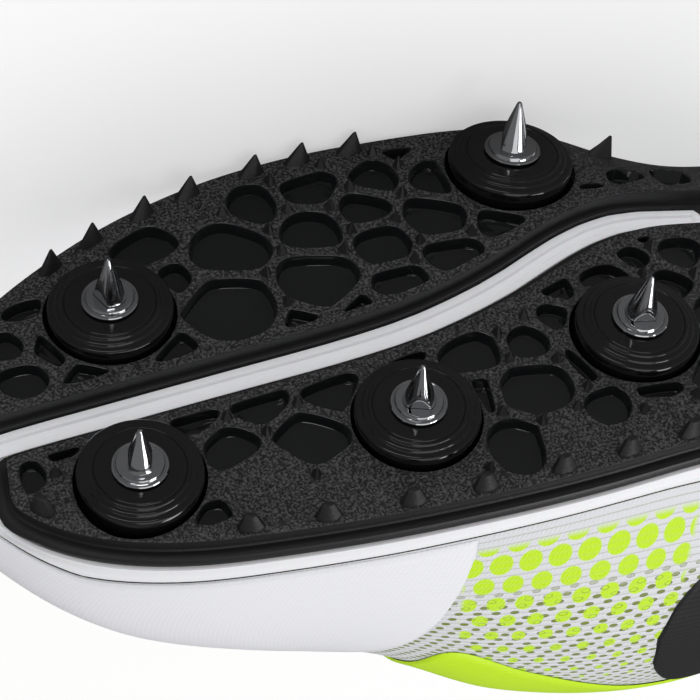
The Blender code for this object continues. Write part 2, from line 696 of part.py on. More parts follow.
def heel_pad():
    """Black rubber tread under the heel, with an even honeycomb."""
    outline = heel_outline(7.0)
    web = inset(outline, LEDGE)
    low, high = web.min(axis=0), web.max(axis=0)
    seeds = []
    row = HEEL_CELL_PITCH * math.sqrt(3) / 2
    for i, x in enumerate(np.arange(low[0] + 7.0, high[0] - 4.0, row)):
        shift = HEEL_CELL_PITCH / 2 if i % 2 else 0.0
        for y in np.arange(-6, 7) * HEEL_CELL_PITCH + shift:
            if low[1] < y < high[1] and inside((x, y), inset(web, RIM_WIDTH + 2.0)):
                seeds.append((np.array([x, y]), np.full(2, 0.5 * HEEL_CELL_PITCH)))
    cells, _ = honeycomb(seeds, web, [])
    plate("heel_pad", outline, LEDGE, cells, [], [], sunk=HEEL_SEAT)


def midsole_thickness(x):
    """Thin under the forefoot, a wedge under the heel."""
    share = min(max((0.64 - x / LENGTH) / 0.44, 0.0), 1.0)
    return MIDSOLE_FOREFOOT + (MIDSOLE_HEEL - MIDSOLE_FOREFOOT) * share ** 2 * (3 - 2 * share)


def seat_height(x, y):
    """Height of the midsole's upper side, flat across except for a little of the edge roll."""
    stations, widths = HALF_WIDTHS[1 if y >= 0 else -1]
    across = min(abs(y) / max(float(np.interp(x, stations, widths)), 0.32 * BALL_WIDTH), 1.25)
    return datum(x, 0.0) + GAP + EDGE_ROLL * across ** 3 + midsole_thickness(x)


def channel_rib(width, end, inner_margin):
    """A strip along the channel, as a closed outline."""
    along = np.gradient(CHANNEL, axis=0)
    along /= np.linalg.norm(along, axis=1)[:, None]
    across = np.stack([along[:, 1], -along[:, 0]], axis=1) * width / 2
    edge = inset(OUTER, inner_margin)
    keep = [inside(p, edge) and p[0] > end for p in CHANNEL]
    upper, lower = (CHANNEL + across)[keep], (CHANNEL - across)[keep]
    return joined([spaced(upper, 6.0, False), spaced(lower, 6.0, False)[::-1]], 6.5, 1.2)


def midsole():
    """White foam wedge whose underside shows as a raised rib in the channel."""
    edge = spaced(inset(OUTER, -0.4), 6.5, True)
    side = inset(edge, -0.5)
    rib = channel_rib(CHANNEL_WIDTH - 2 * GAP - 0.8, MEDIAL_PLATE_END + 12.0, 4.0)
    shell = Shell()
    bottom = shell.ring([under(*p, -GAP) for p in edge])
    middle = shell.ring([Vector((*p, 0.5 * (under(*e, -GAP).z + seat_height(*e))))
                         for p, e in zip(side, edge)])
    top = shell.ring([Vector((*p, seat_height(*p))) for p in edge])
    root = shell.ring([under(*p, -GAP) for p in rib])
    crest = shell.ring([under(*p, CHANNEL_RIB) for p in rib])
    shell.wall(bottom, middle)
    shell.wall(middle, top)
    shell.wall(root, crest)
    inner = [p for p in grid_inside(edge, 11.0) if not inside(p, rib)]
    shell.fill([bottom, root], [edge, rib], inner, lambda x, y: under(x, y, -GAP))
    shell.fill([crest], [rib])
    shell.fill([top], [edge], grid_inside(edge, 11.0),
               lambda x, y: Vector((x, y, seat_height(x, y))))
    shell.finish("midsole", "foam_white")


def insole():
    """The loose footbed inside the upper."""
    edge = spaced(inset(OUTER, WALL + 1.6), 9.0, True)
    shell = Shell()

    def at(x, y, lift):
        return Vector((x, y, seat_height(x, y) + INSOLE_LIFT + lift))

    low = shell.ring([at(*p, 0.0) for p in edge])
    high = shell.ring([at(*p, INSOLE_THICKNESS) for p in edge])
    shell.wall(low, high)
    grid = grid_inside(edge, 11.0)
    shell.fill([low], [edge], grid, lambda x, y: at(x, y, 0.0))
    shell.fill([high], [edge], grid, lambda x, y: at(x, y, INSOLE_THICKNESS))
    shell.finish("insole", "insole_grey")


def rib_values(position):
    """Every column of the rib table at a position between 0, the toe, and 1, the heel."""
    table = np.array(RIBS)
    place = position * (len(table) - 1)
    i = min(int(place), len(table) - 2)
    t = place - i
    a, b, c, d = (table[min(max(k, 0), len(table) - 1)] for k in (i - 1, i, i + 1, i + 2))
    row = 0.5 * (2 * b + (c - a) * t + (2 * a - 5 * b + 4 * c - d) * t * t
                 + (3 * b - a - 3 * c + d) * t ** 3)
    return dict(zip(RIB_COLUMNS, row))


def feather_point(share, side):
    """Where a rib starts on the edge of the sole, and the way out from the foot there."""
    edge = OUTER[OUTER[:, 1] * side >= -0.012 * BALL_WIDTH]
    order = np.argsort(-edge[:, 0])
    line = edge[order]
    if share >= 0.999 or share <= 0.001:
        tip = OUTER[np.argmax(OUTER[:, 0]) if share > 0.5 else np.argmin(OUTER[:, 0])]
        return np.array(tip), np.array([1.0 if share > 0.5 else -1.0, 0.0])
    x = share * LENGTH
    y = float(np.interp(-x, -line[:, 0], line[:, 1]))
    step = 0.006 * LENGTH
    ahead = float(np.interp(-min(x + step, LENGTH), -line[:, 0], line[:, 1]))
    behind = float(np.interp(-max(x - step, 0.0), -line[:, 0], line[:, 1]))
    along = np.array([min(x + step, LENGTH) - max(x - step, 0.0), ahead - behind])
    out = np.array([-along[1], along[0]]) * side
    return np.array([x, y]), out / np.linalg.norm(out)


class Upper:
    """The outer surface of the upper: around runs from the toe over the lateral side (0 to 1)
    to the heel and back over the medial side (1 to 2), and up runs from the sole to the top."""

    def __init__(self, around, up):
        self.around, self.up = around, up
        self.stops = np.linspace(0.0, 2.0, around, endpoint=False)
        self.grid = np.array([[self.point(a, t) for t in np.linspace(0, 1, up + 1)]
                              for a in self.stops])
        self.normals = self.find_normals()

    def point(self, around, up):
        around = around % 2.0
        side = -1 if around <= 1.0 else 1
        row = rib_values(around if around <= 1.0 else 2.0 - around)
        start, out = feather_point(row["feather"], side)
        start = start + out * 0.2
        low = np.array([*start, seat_height(*start) + GAP])
        out = np.array([*out, 0.0])
        top = np.array([row["open_x"] * LENGTH, side * row["open_y"] * BALL_WIDTH,
                        row["open_z"] * INSTEP_HEIGHT])
        rise = low + out * row["bulge"] * INSTEP_HEIGHT
        rise[2] += row["rise"] * INSTEP_HEIGHT
        over = top + out * row["reach"] * INSTEP_HEIGHT
        over[2] -= row["drop"] * INSTEP_HEIGHT
        s = 1.0 - up
        return s ** 3 * low + 3 * s * s * up * rise + 3 * s * up * up * over + up ** 3 * top

    def find_normals(self):
        around = np.roll(self.grid, -1, axis=0) - np.roll(self.grid, 1, axis=0)
        up = np.gradient(self.grid, axis=1)
        normals = np.cross(up, around)
        normals /= np.linalg.norm(normals, axis=2)[:, :, None]
        inward = self.grid.mean(axis=(0, 1)) - self.grid
        flip = np.sum(normals[:, : self.up // 2] * inward[:, : self.up // 2]) > 0
        return -normals if flip else normals

    def at(self, i, j, lift):
        return Vector(self.grid[i % self.around, j] + self.normals[i % self.around, j] * lift)

    def share_from_top(self, i, distance):
        """How far up a rib lies the point that is a given distance from its top."""
        steps = np.linalg.norm(np.diff(self.grid[i % self.around], axis=0), axis=1)
        return 1.0 - distance / float(steps.sum())

    def between(self, around, up, lift):
        """A point on the surface at any position, lifted off it."""
        place = (around % 2.0) / 2.0 * self.around
        i, u = int(place), place - int(place)
        j = min(int(up * self.up), self.up - 1)
        v = up * self.up - j
        weights = ((i, j, (1 - u) * (1 - v)), (i + 1, j, u * (1 - v)),
                   (i, j + 1, (1 - u) * v), (i + 1, j + 1, u * v))
        point = sum(self.grid[a % self.around, b] * w for a, b, w in weights)
        normal = sum(self.normals[a % self.around, b] * w for a, b, w in weights)
        return Vector(point + normal / np.linalg.norm(normal) * lift)


def upper_shell(surface):
    """The knitted upper: one wall around the foot, open at the throat, collar and underneath."""
    shell = Shell()
    rows = [[shell.ring([surface.at(i, j, lift) for i in range(surface.around)])
             for j in range(surface.up + 1)] for lift in (0.0, -WALL)]
    for outer in rows:
        for low, high in zip(outer, outer[1:]):
            shell.wall(low, high)
    shell.wall(rows[0][0], rows[1][0])
    shell.wall(rows[0][-1], rows[1][-1])
    shell.finish("upper", "mesh_white", 60.0)


def overlay(name, finish, surface, ends, low_of, high_of):
    """A film on the upper between two edges that are given for each place around the foot. It
    bends at the corners of the upper's own grid, so that the two keep an even gap."""
    scale = np.array([1.1 * LENGTH, INSTEP_HEIGHT])
    first, last = ends
    creases = np.arange(-2 * surface.around, 4 * surface.around) / surface.around
    edge = np.array([first, *creases[(creases > first + 0.004) & (creases < last - 0.004)], last])
    rows = np.linspace(0, 1, surface.up + 1)
    columns = [[(a, u) for u in rows if low_of(a) + 0.02 < u < high_of(a) - 0.02]
               for a in ends]
    outline = np.array([(a, low_of(a)) for a in edge] + columns[1]
                       + [(a, high_of(a)) for a in edge[::-1]] + columns[0][::-1])
    apart = np.linalg.norm((outline - np.roll(outline, 1, axis=0)) * scale, axis=1)
    outline = outline[apart > 0.5]
    places = np.concatenate([surface.stops - 2.0, surface.stops])
    loop = outline * scale
    inner = [np.array([a, u]) * scale for a in places for u in rows
             if first < a < last and low_of(a) < u < high_of(a)]
    inner = [p for p in inner if inside(p, loop) and distance_to(p, loop) > 2.0]
    shell = Shell()
    skins = []
    for lift in (OVERLAY_LIFT, OVERLAY_LIFT + OVERLAY):

        def place(x, y, lift=lift):
            return surface.between(x / scale[0], y / scale[1], lift)

        ring = shell.ring([place(*p) for p in loop])
        shell.fill([ring], [loop], inner, place)
        skins.append(ring)
    shell.wall(*skins)
    shell.finish(name, finish, 60.0)


def rib_length(surface, around):
    return float(np.linalg.norm(np.diff(
        surface.grid[int(round((around % 2.0) / 2.0 * surface.around)) % surface.around],
        axis=0), axis=1).sum())


def toe_film_top(around):
    """Upper edge of the toe film, which falls to the sole at its rear end."""
    share = min(abs(around) / TOE_FILM_BACK, 1.0)
    return 0.02 + TOE_FILM_TOP * max(1.0 - share ** 6, 0.01) ** 0.7


def eyestay_low(around):
    edge = np.array(EYESTAY_EDGE)
    return float(np.interp(abs(around), edge[:, 0], edge[:, 1]))


def quarter_edge(around, side):
    """Lower edge of the heel quarter for side -1, and its upper edge for side 1."""
    behind = (around if around <= 1.0 else 2.0 - around) - QUARTER_FRONT
    share = min(behind / QUARTER_ROUND, 1.0)
    heel = min(behind / (1.0 - QUARTER_FRONT), 1.0)
    high = QUARTER_HIGH + (QUARTER_HEEL_HIGH - QUARTER_HIGH) * heel
    middle = 0.5 * (QUARTER_LOW + high) * share + 0.33 * (1.0 - share)
    half = 0.5 * (high - QUARTER_LOW) * math.sqrt(max(1.0 - (1.0 - share) ** 2, 0.04))
    return middle + side * half


def overlays(surface):
    """Toe film, eyestay and heel quarter, each cut from the upper's own surface."""
    back = TOE_FILM_BACK * 0.995
    overlay("toe_film", "film_white", surface, (-back, back), lambda a: 0.01, toe_film_top)
    overlay("eyestay", "neon", surface, (-EYESTAY_END, EYESTAY_END), eyestay_low,
            lambda a: 0.99)
    overlay("heel_quarter", "quarter_black", surface, (QUARTER_FRONT, 2.0 - QUARTER_FRONT),
            lambda a: quarter_edge(a, -1), lambda a: quarter_edge(a, 1))


def throat_at(x):
    """Half width and height of the throat's edge at a station, carried on past its top."""
    table = np.array(RIBS)[:7]
    stations = table[::-1, 5] * LENGTH
    half = float(np.interp(x, stations, table[::-1, 6])) * BALL_WIDTH
    height = float(np.interp(x, stations, table[::-1, 7])) * INSTEP_HEIGHT
    slope = (table[6, 7] - table[5, 7]) * INSTEP_HEIGHT / (
        (table[5, 5] - table[6, 5]) * LENGTH)
    past = max(stations[0] - x, 0.0)
    return half, height + past * slope * 1.15


def tongue():
    """Padded tongue under the laces, from below the vamp to above the collar."""
    front = RIBS[0][5] * LENGTH + 8.0
    back = RIBS[6][5] * LENGTH - TONGUE_TOP
    columns = []
    for x in np.linspace(front, back, 15):
        half, height = throat_at(x)
        past = max(RIBS[6][5] * LENGTH - x, 0.0)
        width = half + max(TONGUE_MARGIN - TONGUE_TAPER * past, 0.0)
        sunk = 1.6 * max(x - RIBS[0][5] * LENGTH, 0.0) / 8.0
        columns.append([(x, width * v, height - WALL - TONGUE_DROP - sunk - 4.6 * v * v)
                        for v in np.linspace(-1, 1, 7)])
    shell = Shell()
    top = [shell.ring([Vector(p) for p in column]) for column in columns]
    low = [shell.ring([Vector((x, y * 0.98, z - TONGUE_THICKNESS * (1.0 - 0.5 * abs(k - 3) / 3)))
                       for k, (x, y, z) in enumerate(column)]) for column in columns]
    for skin in (top, low):
        for first, second in zip(skin, skin[1:]):
            shell.wall(first, second, closed=False)
    shell.wall([c[0] for c in top], [c[0] for c in low], closed=False)
    shell.wall([c[-1] for c in top], [c[-1] for c in low], closed=False)
    shell.wall(top[0], low[0], closed=False)
    shell.wall(top[-1], low[-1], closed=False)
    shell.finish("tongue", "mesh_white", 60.0)


def lace_strap(path, outs):
    """A flat lace along a path, lying square to the given ways out of the shoe."""
    shell = Shell()
    rings = []
    along = np.gradient(path, axis=0)
    for point, way, out in zip(path, along, outs):
        side = np.cross(way, out)
        side *= LACE_WIDTH / 2 / np.linalg.norm(side)
        thick = np.cross(side, way)
        thick *= LACE_THICKNESS / 2 / np.linalg.norm(thick)
        rings.append(shell.ring([Vector(point + side * u + thick * v) for u, v in (
            (-1, 0), (-0.8, -1), (0.8, -1), (1, 0), (0.8, 1), (-0.8, 1))]))
    for first, second in zip(rings, rings[1:]):
        shell.wall(first, second)
    for ring in (rings[0], rings[-1]):
        shell.mesh.faces.new(ring)
    return shell.finish("lace_part", "neon", 60.0)


def laces(surface):
    """The criss-cross laces: each crossing is one solid of two straps, which pass over the
    edges of the throat."""
    clear = OVERLAY_LIFT + OVERLAY + GAP + LACE_THICKNESS / 2 + LACE_LIFT
    table = np.array(RIBS)
    rows = np.linspace(LACE_FRONT, LACE_BACK, LACE_CROSSINGS + 1) * LENGTH

    def around_at(x):
        return float(np.interp(-x / LENGTH, -table[:, 5], np.linspace(0, 1, len(table))))

    def stop(around, from_top):
        share = 1.0 - from_top / rib_length(surface, around)
        point = surface.between(around, share, clear)
        return point, (point - surface.between(around, share, 0.0)).normalized()

    def strap(low, high):
        """From a low stop on one side to a high stop on the other."""
        far = 2.0 - high
        stops = [stop(low, EYELET_INSET), stop(low, 0.5), stop(far, 0.5), stop(far, EYELET_INSET)]
        middle = (stops[1][0] + stops[2][0]) / 2
        out = (stops[1][1] + stops[2][1]).normalized()
        stops.insert(2, (middle + out * LACE_BOW, out))
        return lace_strap(spline([p for p, _ in stops], 2, False),
                          spline([o for _, o in stops], 2, False))

    for k, (low, high) in enumerate(zip(rows, rows[1:])):
        low, high = around_at(low - LACE_STEP), around_at(high + LACE_STEP)
        made, other = strap(low, high), strap(2.0 - low, 2.0 - high)
        join = made.modifiers.new("crossing", "BOOLEAN")
        join.operation = "UNION"
        join.object = other
        bake(made, f"lace_crossing_{k + 1}")
        bpy.data.objects.remove(other)


def bake(made, name):
    """Puts an object's modifiers into its mesh and gives it its name."""
    graph = bpy.context.evaluated_depsgraph_get()
    data = bpy.data.meshes.new_from_object(made.evaluated_get(graph))
    made.modifiers.clear()
    made.data = data
    made.name = name
    data.name = name


def axes_at(place):
    """A stud's foot point, and the three directions of its turned shape."""
    normal = sole_normal(*place)
    side = (Vector((1, 0, 0)) - normal * normal.x).normalized()
    return Vector((*place, datum(*place))), side, normal.cross(side), normal


def turned(profile, segments, place, start=0.0, flat=math.inf):
    """Rings of a shape turned about the sole's normal, with two opposite flats that face the
    start angle, if their distance from the axis is given. Profile rows are radius and depth."""
    point, side, other, normal = axes_at(place)
    rings = []
    for radius, depth in profile:
        ring = []
        for turn in np.linspace(0, 2 * math.pi, segments, endpoint=False):
            way = side * math.cos(turn + start) + other * math.sin(turn + start)
            ring.append(point - normal * depth
                        + way * min(radius, flat / max(abs(math.cos(turn)), 0.01)))
        rings.append(ring)
    return rings


def stacked(name, finish, rings):
    """A solid from closed rings, one above the other."""
    shell = Shell()
    rings = [shell.ring(points) for points in rings]
    for first, second in zip(rings, rings[1:]):
        shell.wall(first, second)
    for ring in (rings[0], rings[-1]):
        shell.fan(ring)
    return shell.finish(name, finish, 30.0)


def studs():
    """Each stud's moulded seat in its well, and the steel spike screwed into it."""
    web_top = PLATE_BASE + WEB_HEIGHT
    shoulder = web_top + SEAT_HEIGHT
    crown = shoulder + 2.4 * SEAT_STEP
    seat = [
        (SEAT_RADIUS * 0.985, web_top + 0.8), (SEAT_RADIUS * 0.88, shoulder),
        (SEAT_RADIUS * 0.86, shoulder + SEAT_STEP), (SEAT_RADIUS * 0.74, crown),
        (SPIKE_FLANGE + FLANGE_CLEAR, crown),
        (SPIKE_FLANGE + FLANGE_CLEAR - SEAT_RECESS, crown - SEAT_RECESS),
        (SEAT_BORE, crown - SEAT_RECESS), (SEAT_BORE, crown - SPIKE_DEPTH - GAP),
    ]
    face = crown + GAP
    root = face + FLANGE_THICKNESS
    flange = [
        (SPIKE_SHANK, crown - SPIKE_DEPTH), (SPIKE_SHANK, face),
        (SPIKE_FLANGE, face), (SPIKE_FLANGE, face + 0.55 * FLANGE_THICKNESS),
        (SPIKE_FLANGE * 0.80, root),
    ]
    taper = (SPIKE_BASE - SPIKE_TIP) / SPIKE_HEIGHT
    blade = [(SPIKE_BASE - taper * rise, root + rise) for rise in (0.0, FLAT_TOP, SPIKE_HEIGHT)]
    for (name, place), row in zip(stud_places(), STUDS):
        low = [under(*p, PLATE_BASE + GAP) for p in stud_circle(place, SEAT_RADIUS)]
        high = [under(*p, web_top) for p in stud_circle(place, SEAT_RADIUS)]
        stacked(f"stud_seat_{name}", "seat_black",
                [low, high] + turned(seat, STUD_SEGMENTS, place))
        start = math.radians(row[3])
        stacked(f"spike_{name}", "steel", turned(flange, SPIKE_SEGMENTS, place, start)
                + turned(blade, SPIKE_SEGMENTS, place, start, SPIKE_FLAT))


def corners_of(objects):
    return np.array([v.co for made in objects for v in made.data.vertices])


def centre_of_mass(objects):
    """Balance point of the shoe, from each solid's volume and a density for its material."""
    density = {"steel": 7.8, "foam_white": 0.22, "insole_grey": 0.25, "mesh_white": 0.55,
               "plate_black": 1.05, "seat_black": 1.1}
    total, moment = 0.0, Vector((0, 0, 0))
    for made in objects:
        mesh = bmesh.new()
        mesh.from_mesh(made.data)
        heavy = density.get(made.data.materials[0].name, 0.9)
        for face in mesh.faces:
            corners = [v.co for v in face.verts]
            for k in range(1, len(corners) - 1):
                part = corners[0].dot(corners[k].cross(corners[k + 1])) / 6 * heavy
                total += part
                moment += (corners[0] + corners[k] + corners[k + 1]) / 4 * part
        mesh.free()
    return moment / total


def resting_side(objects):
    """Outward normal and distance of the hull's face that the shoe lies on, medial side down."""
    hull = bmesh.new()
    for p in corners_of(objects):
        hull.verts.new(p)
    bmesh.ops.convex_hull(hull, input=hull.verts)
    hull.normal_update()
    balance = centre_of_mass(objects)
    best = None
    for face in hull.faces:
        normal = face.normal.copy()
        height = normal.dot(face.verts[0].co) - normal.dot(balance)
        if normal.y < 0.75:
            continue
        foot = balance + normal * height
        if bmesh_contains(face, foot) and (best is None or height < best[0]):
            best = (height, normal, normal.dot(face.verts[0].co))
    hull.free()
    if best is None:
        return Vector((0, 1, 0)), max(p[1] for p in corners_of(objects))
    return best[1], best[2]


def bmesh_contains(face, point):
    """Whether a point of a convex face's plane lies within the face."""
    corners = [v.co for v in face.verts]
    count = len(corners)
    return all((corners[(k + 1) % count] - corners[k]).cross(point - corners[k]).dot(face.normal)
               >= -1e-12 for k in range(count))


def lay_down(objects):
    """Lays the shoe on its medial side on the floor and centres it over the origin."""
    normal, reach = resting_side(objects)
    down = Vector((0, 0, -1))
    turn = normal.rotation_difference(down).to_matrix().to_4x4()
    toe = turn @ Vector((1, 0, 0))
    turn = Matrix.Rotation(-math.atan2(toe.y, toe.x), 4, "Z") @ turn
    laid = corners_of(objects) @ np.array(turn.to_3x3()).T
    middle = (laid.min(axis=0) + laid.max(axis=0)) / 2
    shift = Matrix.Translation((-middle[0], -middle[1], reach))
    print("lay", [[round(x, 6) for x in row] for row in (shift @ turn)])
    stand = bpy.data.objects.new("laid_on_medial_side", None)
    bpy.context.scene.collection.objects.link(stand)
    stand.matrix_world = shift @ turn
    for made in objects:
        made.parent = stand


def main():
    clear_scene()
    forefoot_plates()
    heel_pad()
    midsole()
    insole()
    surface = Upper(56, 10)
    upper_shell(surface)
    overlays(surface)
    tongue()
    laces(surface)
    studs()
    lay_down([made for made in bpy.data.objects if made.type == "MESH"])


main()
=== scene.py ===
# %% [markdown]
# A track spike shoe, right foot, lying on its medial side so that the sole faces the viewer.
# The construction model gives every piece its place and size. This file rebuilds the pieces
# finely: plates with rounded pockets, turned studs, a knitted upper with films, laces, and the
# finishes of all of them.

import math

import bmesh
import bpy
import numpy as np
from mathutils import Matrix, Vector
from mathutils.geometry import delaunay_2d_cdt


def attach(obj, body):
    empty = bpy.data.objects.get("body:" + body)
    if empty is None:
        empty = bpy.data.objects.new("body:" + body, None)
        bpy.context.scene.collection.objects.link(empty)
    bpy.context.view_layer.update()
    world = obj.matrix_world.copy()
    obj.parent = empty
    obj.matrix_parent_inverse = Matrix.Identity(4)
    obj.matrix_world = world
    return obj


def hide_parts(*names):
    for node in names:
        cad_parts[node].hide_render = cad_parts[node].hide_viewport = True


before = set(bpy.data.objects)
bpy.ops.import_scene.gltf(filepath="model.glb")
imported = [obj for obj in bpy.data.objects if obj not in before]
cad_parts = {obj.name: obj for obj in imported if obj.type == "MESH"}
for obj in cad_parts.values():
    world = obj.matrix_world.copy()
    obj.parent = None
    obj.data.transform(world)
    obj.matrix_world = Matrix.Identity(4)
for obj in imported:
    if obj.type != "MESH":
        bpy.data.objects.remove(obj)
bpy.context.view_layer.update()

# %% [markdown]
# A shoe is drawn upright, on its last, in millimetres: x from the heel end to the toe tip, y to
# the medial side, z up from the tread. The same driving sizes and short tables as in the
# construction give every curve here, so that a fine piece follows its solid everywhere.

# %% Driving sizes of the last and the sole, in millimetres
MM = 0.001
LENGTH = 280.0
BALL_WIDTH = 86.5
TOE_SPRING = 17.0
WAIST_RISE = 5.0
ARCH_RISE = 5.0
EDGE_ROLL = 2.2
HEEL_BEVEL = 4.0
INSTEP_HEIGHT = 88.0
GAP = 0.3
PLATE_BASE = 2.3
WEB_HEIGHT = 2.3
LEDGE = 1.3
LATERAL_LEDGE = 2.4
PLATE_SEAT = 0.4
HEEL_SEAT = 0.6

# Outline of the plates: shares of LENGTH from the heel end and of BALL_WIDTH from the axis
OUTLINE = (
    (1.000, -0.010), (0.982, 0.139), (0.957, 0.235), (0.929, 0.308), (0.857, 0.400),
    (0.786, 0.444), (0.721, 0.450), (0.661, 0.436), (0.607, 0.420), (0.566, 0.388),
    (0.521, 0.304), (0.471, 0.252), (0.393, 0.242), (0.286, 0.277), (0.171, 0.329), (0.064, 0.283),
    (0.014, 0.139), (0.000, -0.023), (0.014, -0.185), (0.064, -0.324), (0.171, -0.393),
    (0.286, -0.428), (0.411, -0.468), (0.536, -0.520), (0.643, -0.538), (0.750, -0.514),
    (0.839, -0.464), (0.900, -0.408), (0.948, -0.320), (0.980, -0.195),
)

# Middle of the white channel between the plates, in the same shares
CHANNEL_LINE = (
    (1.050, -0.020), (0.964, -0.024), (0.893, -0.038), (0.821, -0.050), (0.750, -0.058),
    (0.696, -0.050), (0.643, -0.014), (0.607, 0.028), (0.571, 0.069), (0.536, 0.092),
    (0.500, 0.090), (0.464, 0.082), (0.430, 0.078), (0.390, 0.075), (0.340, 0.070),
)

# Studs: name, share of LENGTH from the toe, share of BALL_WIDTH from the axis, and the way that
# the spike's two flats face, in degrees from the toe round to the medial side
STUDS = (
    ("toe_lateral", 0.099, -0.228, 22),
    ("toe_medial", 0.130, 0.171, 166),
    ("ball_lateral", 0.269, -0.288, 115),
    ("tread_lateral", 0.421, -0.227, 101),
    ("tread_medial", 0.406, 0.261, 29),
)


# %% Curves
def spline(points, per_span, closed):
    """Points on the Catmull-Rom curve through the given ones."""
    p = np.array(points, float)
    count = len(p)
    spans = count if closed else count - 1
    out = []
    for i in range(spans):
        if closed:
            a, b, c, d = p[i - 1], p[i], p[(i + 1) % count], p[(i + 2) % count]
        else:
            a, b, c, d = p[max(i - 1, 0)], p[i], p[i + 1], p[min(i + 2, count - 1)]
        for k in range(per_span):
            t = k / per_span
            out.append(0.5 * (2 * b + (c - a) * t + (2 * a - 5 * b + 4 * c - d) * t * t
                              + (3 * b - a - 3 * c + d) * t ** 3))
    if not closed:
        out.append(p[-1])
    return np.array(out)


def spaced(line, pitch, closed):
    """The line with its points moved to an even spacing near pitch."""
    run = np.vstack([line, line[:1]]) if closed else line
    travel = np.concatenate([[0.0], np.cumsum(np.linalg.norm(np.diff(run, axis=0), axis=1))])
    count = max(int(round(travel[-1] / pitch)), 3)
    stops = np.linspace(0.0, travel[-1], count + 1)
    if closed:
        stops = stops[:-1]
    return np.stack([np.interp(stops, travel, run[:, i]) for i in range(run.shape[1])], axis=1)


def inset(polygon, distance):
    """A counter-clockwise polygon moved inwards, point by point."""
    along = np.roll(polygon, -1, axis=0) - np.roll(polygon, 1, axis=0)
    along /= np.linalg.norm(along, axis=1)[:, None]
    return polygon + np.stack([-along[:, 1], along[:, 0]], axis=1) * distance


def area_of(polygon):
    x, y = polygon[:, 0], polygon[:, 1]
    return 0.5 * float(np.sum(x * np.roll(y, -1) - np.roll(x, -1) * y))


def inside(point, polygon):
    x, y = point
    px, py = polygon[:, 0], polygon[:, 1]
    qx, qy = np.roll(px, -1), np.roll(py, -1)
    crosses = (py > y) != (qy > y)
    with np.errstate(divide="ignore", invalid="ignore"):
        at = px + (y - py) * (qx - px) / (qy - py)
    return bool(np.count_nonzero(crosses & (at > x)) % 2)


def distance_to(point, loop):
    """Distance from a point to a closed line."""
    after = np.roll(loop, -1, axis=0) - loop
    share = np.sum((point - loop) * after, axis=1) / np.sum(after * after, axis=1)
    nearest = loop + after * np.clip(share, 0.0, 1.0)[:, None]
    return float(np.linalg.norm(point - nearest, axis=1).min())


OUTER = spline([(a * LENGTH, b * BALL_WIDTH) for a, b in OUTLINE], 10, True)
CHANNEL = spline([(a * LENGTH, b * BALL_WIDTH) for a, b in CHANNEL_LINE], 8, False)


# %% [markdown]
# The plates of a spike shoe are bent like the last: the toe springs up, the waist rises and the
# edges roll. One height function holds all of that, and "under" gives the points that lie a
# given depth below it, square to the surface. Everything on the sole is built through it.

# %% The sole's curved surface
def half_width(side):
    """Half width of the plates at even stations along the length, on one side of the axis."""
    stations = np.linspace(0.0, LENGTH, 141)
    edge = OUTER[OUTER[:, 1] * side >= -0.02 * BALL_WIDTH]
    edge = edge[np.argsort(edge[:, 0])]
    return np.interp(stations, edge[:, 0], np.abs(edge[:, 1]))


STATIONS = np.linspace(0.0, LENGTH, 141)
HALF_WIDTHS = {side: half_width(side) for side in (1, -1)}


def share_across(x, y, narrowest):
    """How far out a place lies, from 0 on the axis to 1 at the edge of the plates."""
    width = np.where(y >= 0, np.interp(x, STATIONS, HALF_WIDTHS[1]),
                     np.interp(x, STATIONS, HALF_WIDTHS[-1]))
    return np.minimum(np.abs(y) / np.maximum(width, narrowest * BALL_WIDTH), 1.25)


def datum(x, y):
    """Height of the plates' upper side, where they meet the midsole."""
    x, y = np.asarray(x, float), np.asarray(y, float)
    toe = np.maximum((x / LENGTH - 0.54) / 0.46, 0.0)
    waist = np.clip((x / LENGTH - 0.22) / 0.38, 0.0, 1.0)
    heel = np.maximum(1.0 - x / (0.12 * LENGTH), 0.0)
    across = share_across(x, y, 0.13)
    arch = np.where(y > 0, np.exp(-(((x / LENGTH) - 0.47) / 0.16) ** 2), 0.0)
    return (PLATE_BASE + WEB_HEIGHT + TOE_SPRING * toe ** 1.6
            + WAIST_RISE * np.sin(np.pi * waist) ** 2 + HEEL_BEVEL * heel ** 2
            + EDGE_ROLL * across ** 3 + ARCH_RISE * arch * across ** 1.6)


def sole_normals(x, y):
    step = 0.5
    slope_x = (datum(x + step, y) - datum(x - step, y)) / (2 * step)
    slope_y = (datum(x, y + step) - datum(x, y - step)) / (2 * step)
    normals = np.stack([-slope_x, -slope_y, np.ones_like(slope_x)], axis=-1)
    return normals / np.linalg.norm(normals, axis=-1, keepdims=True)


def under(points, depth):
    """The points that lie depth below the datum surface, square to it."""
    points = np.atleast_2d(points)
    x, y = points[:, 0], points[:, 1]
    return np.stack([x, y, datum(x, y)], axis=1) - sole_normals(x, y) * np.reshape(depth, (-1, 1))


# %% [markdown]
# The shoe lies on its side on the floor. Instead of repeating how it was laid, the script finds
# it: the tips of the five spikes are easy to find in the construction model, and their places on
# the last are known, so the rotation and shift between the two is a small least squares fit.

# %% Find how the shoe lies
SEAT_RADIUS = 10.8
SEAT_HEIGHT = 2.4
SEAT_STEP = 0.45
FLANGE_THICKNESS = 1.3
SPIKE_BASE = 2.9
SPIKE_FLAT = 2.1
SPIKE_TIP = 0.35
SPIKE_HEIGHT = 9.0
WEB_TOP = PLATE_BASE + WEB_HEIGHT
CROWN = WEB_TOP + SEAT_HEIGHT + 2.4 * SEAT_STEP
SPIKE_END = CROWN + GAP + FLANGE_THICKNESS + SPIKE_HEIGHT


def stud_places():
    return {name: np.array([LENGTH * (1 - s), BALL_WIDTH * y]) for name, s, y, _ in STUDS}


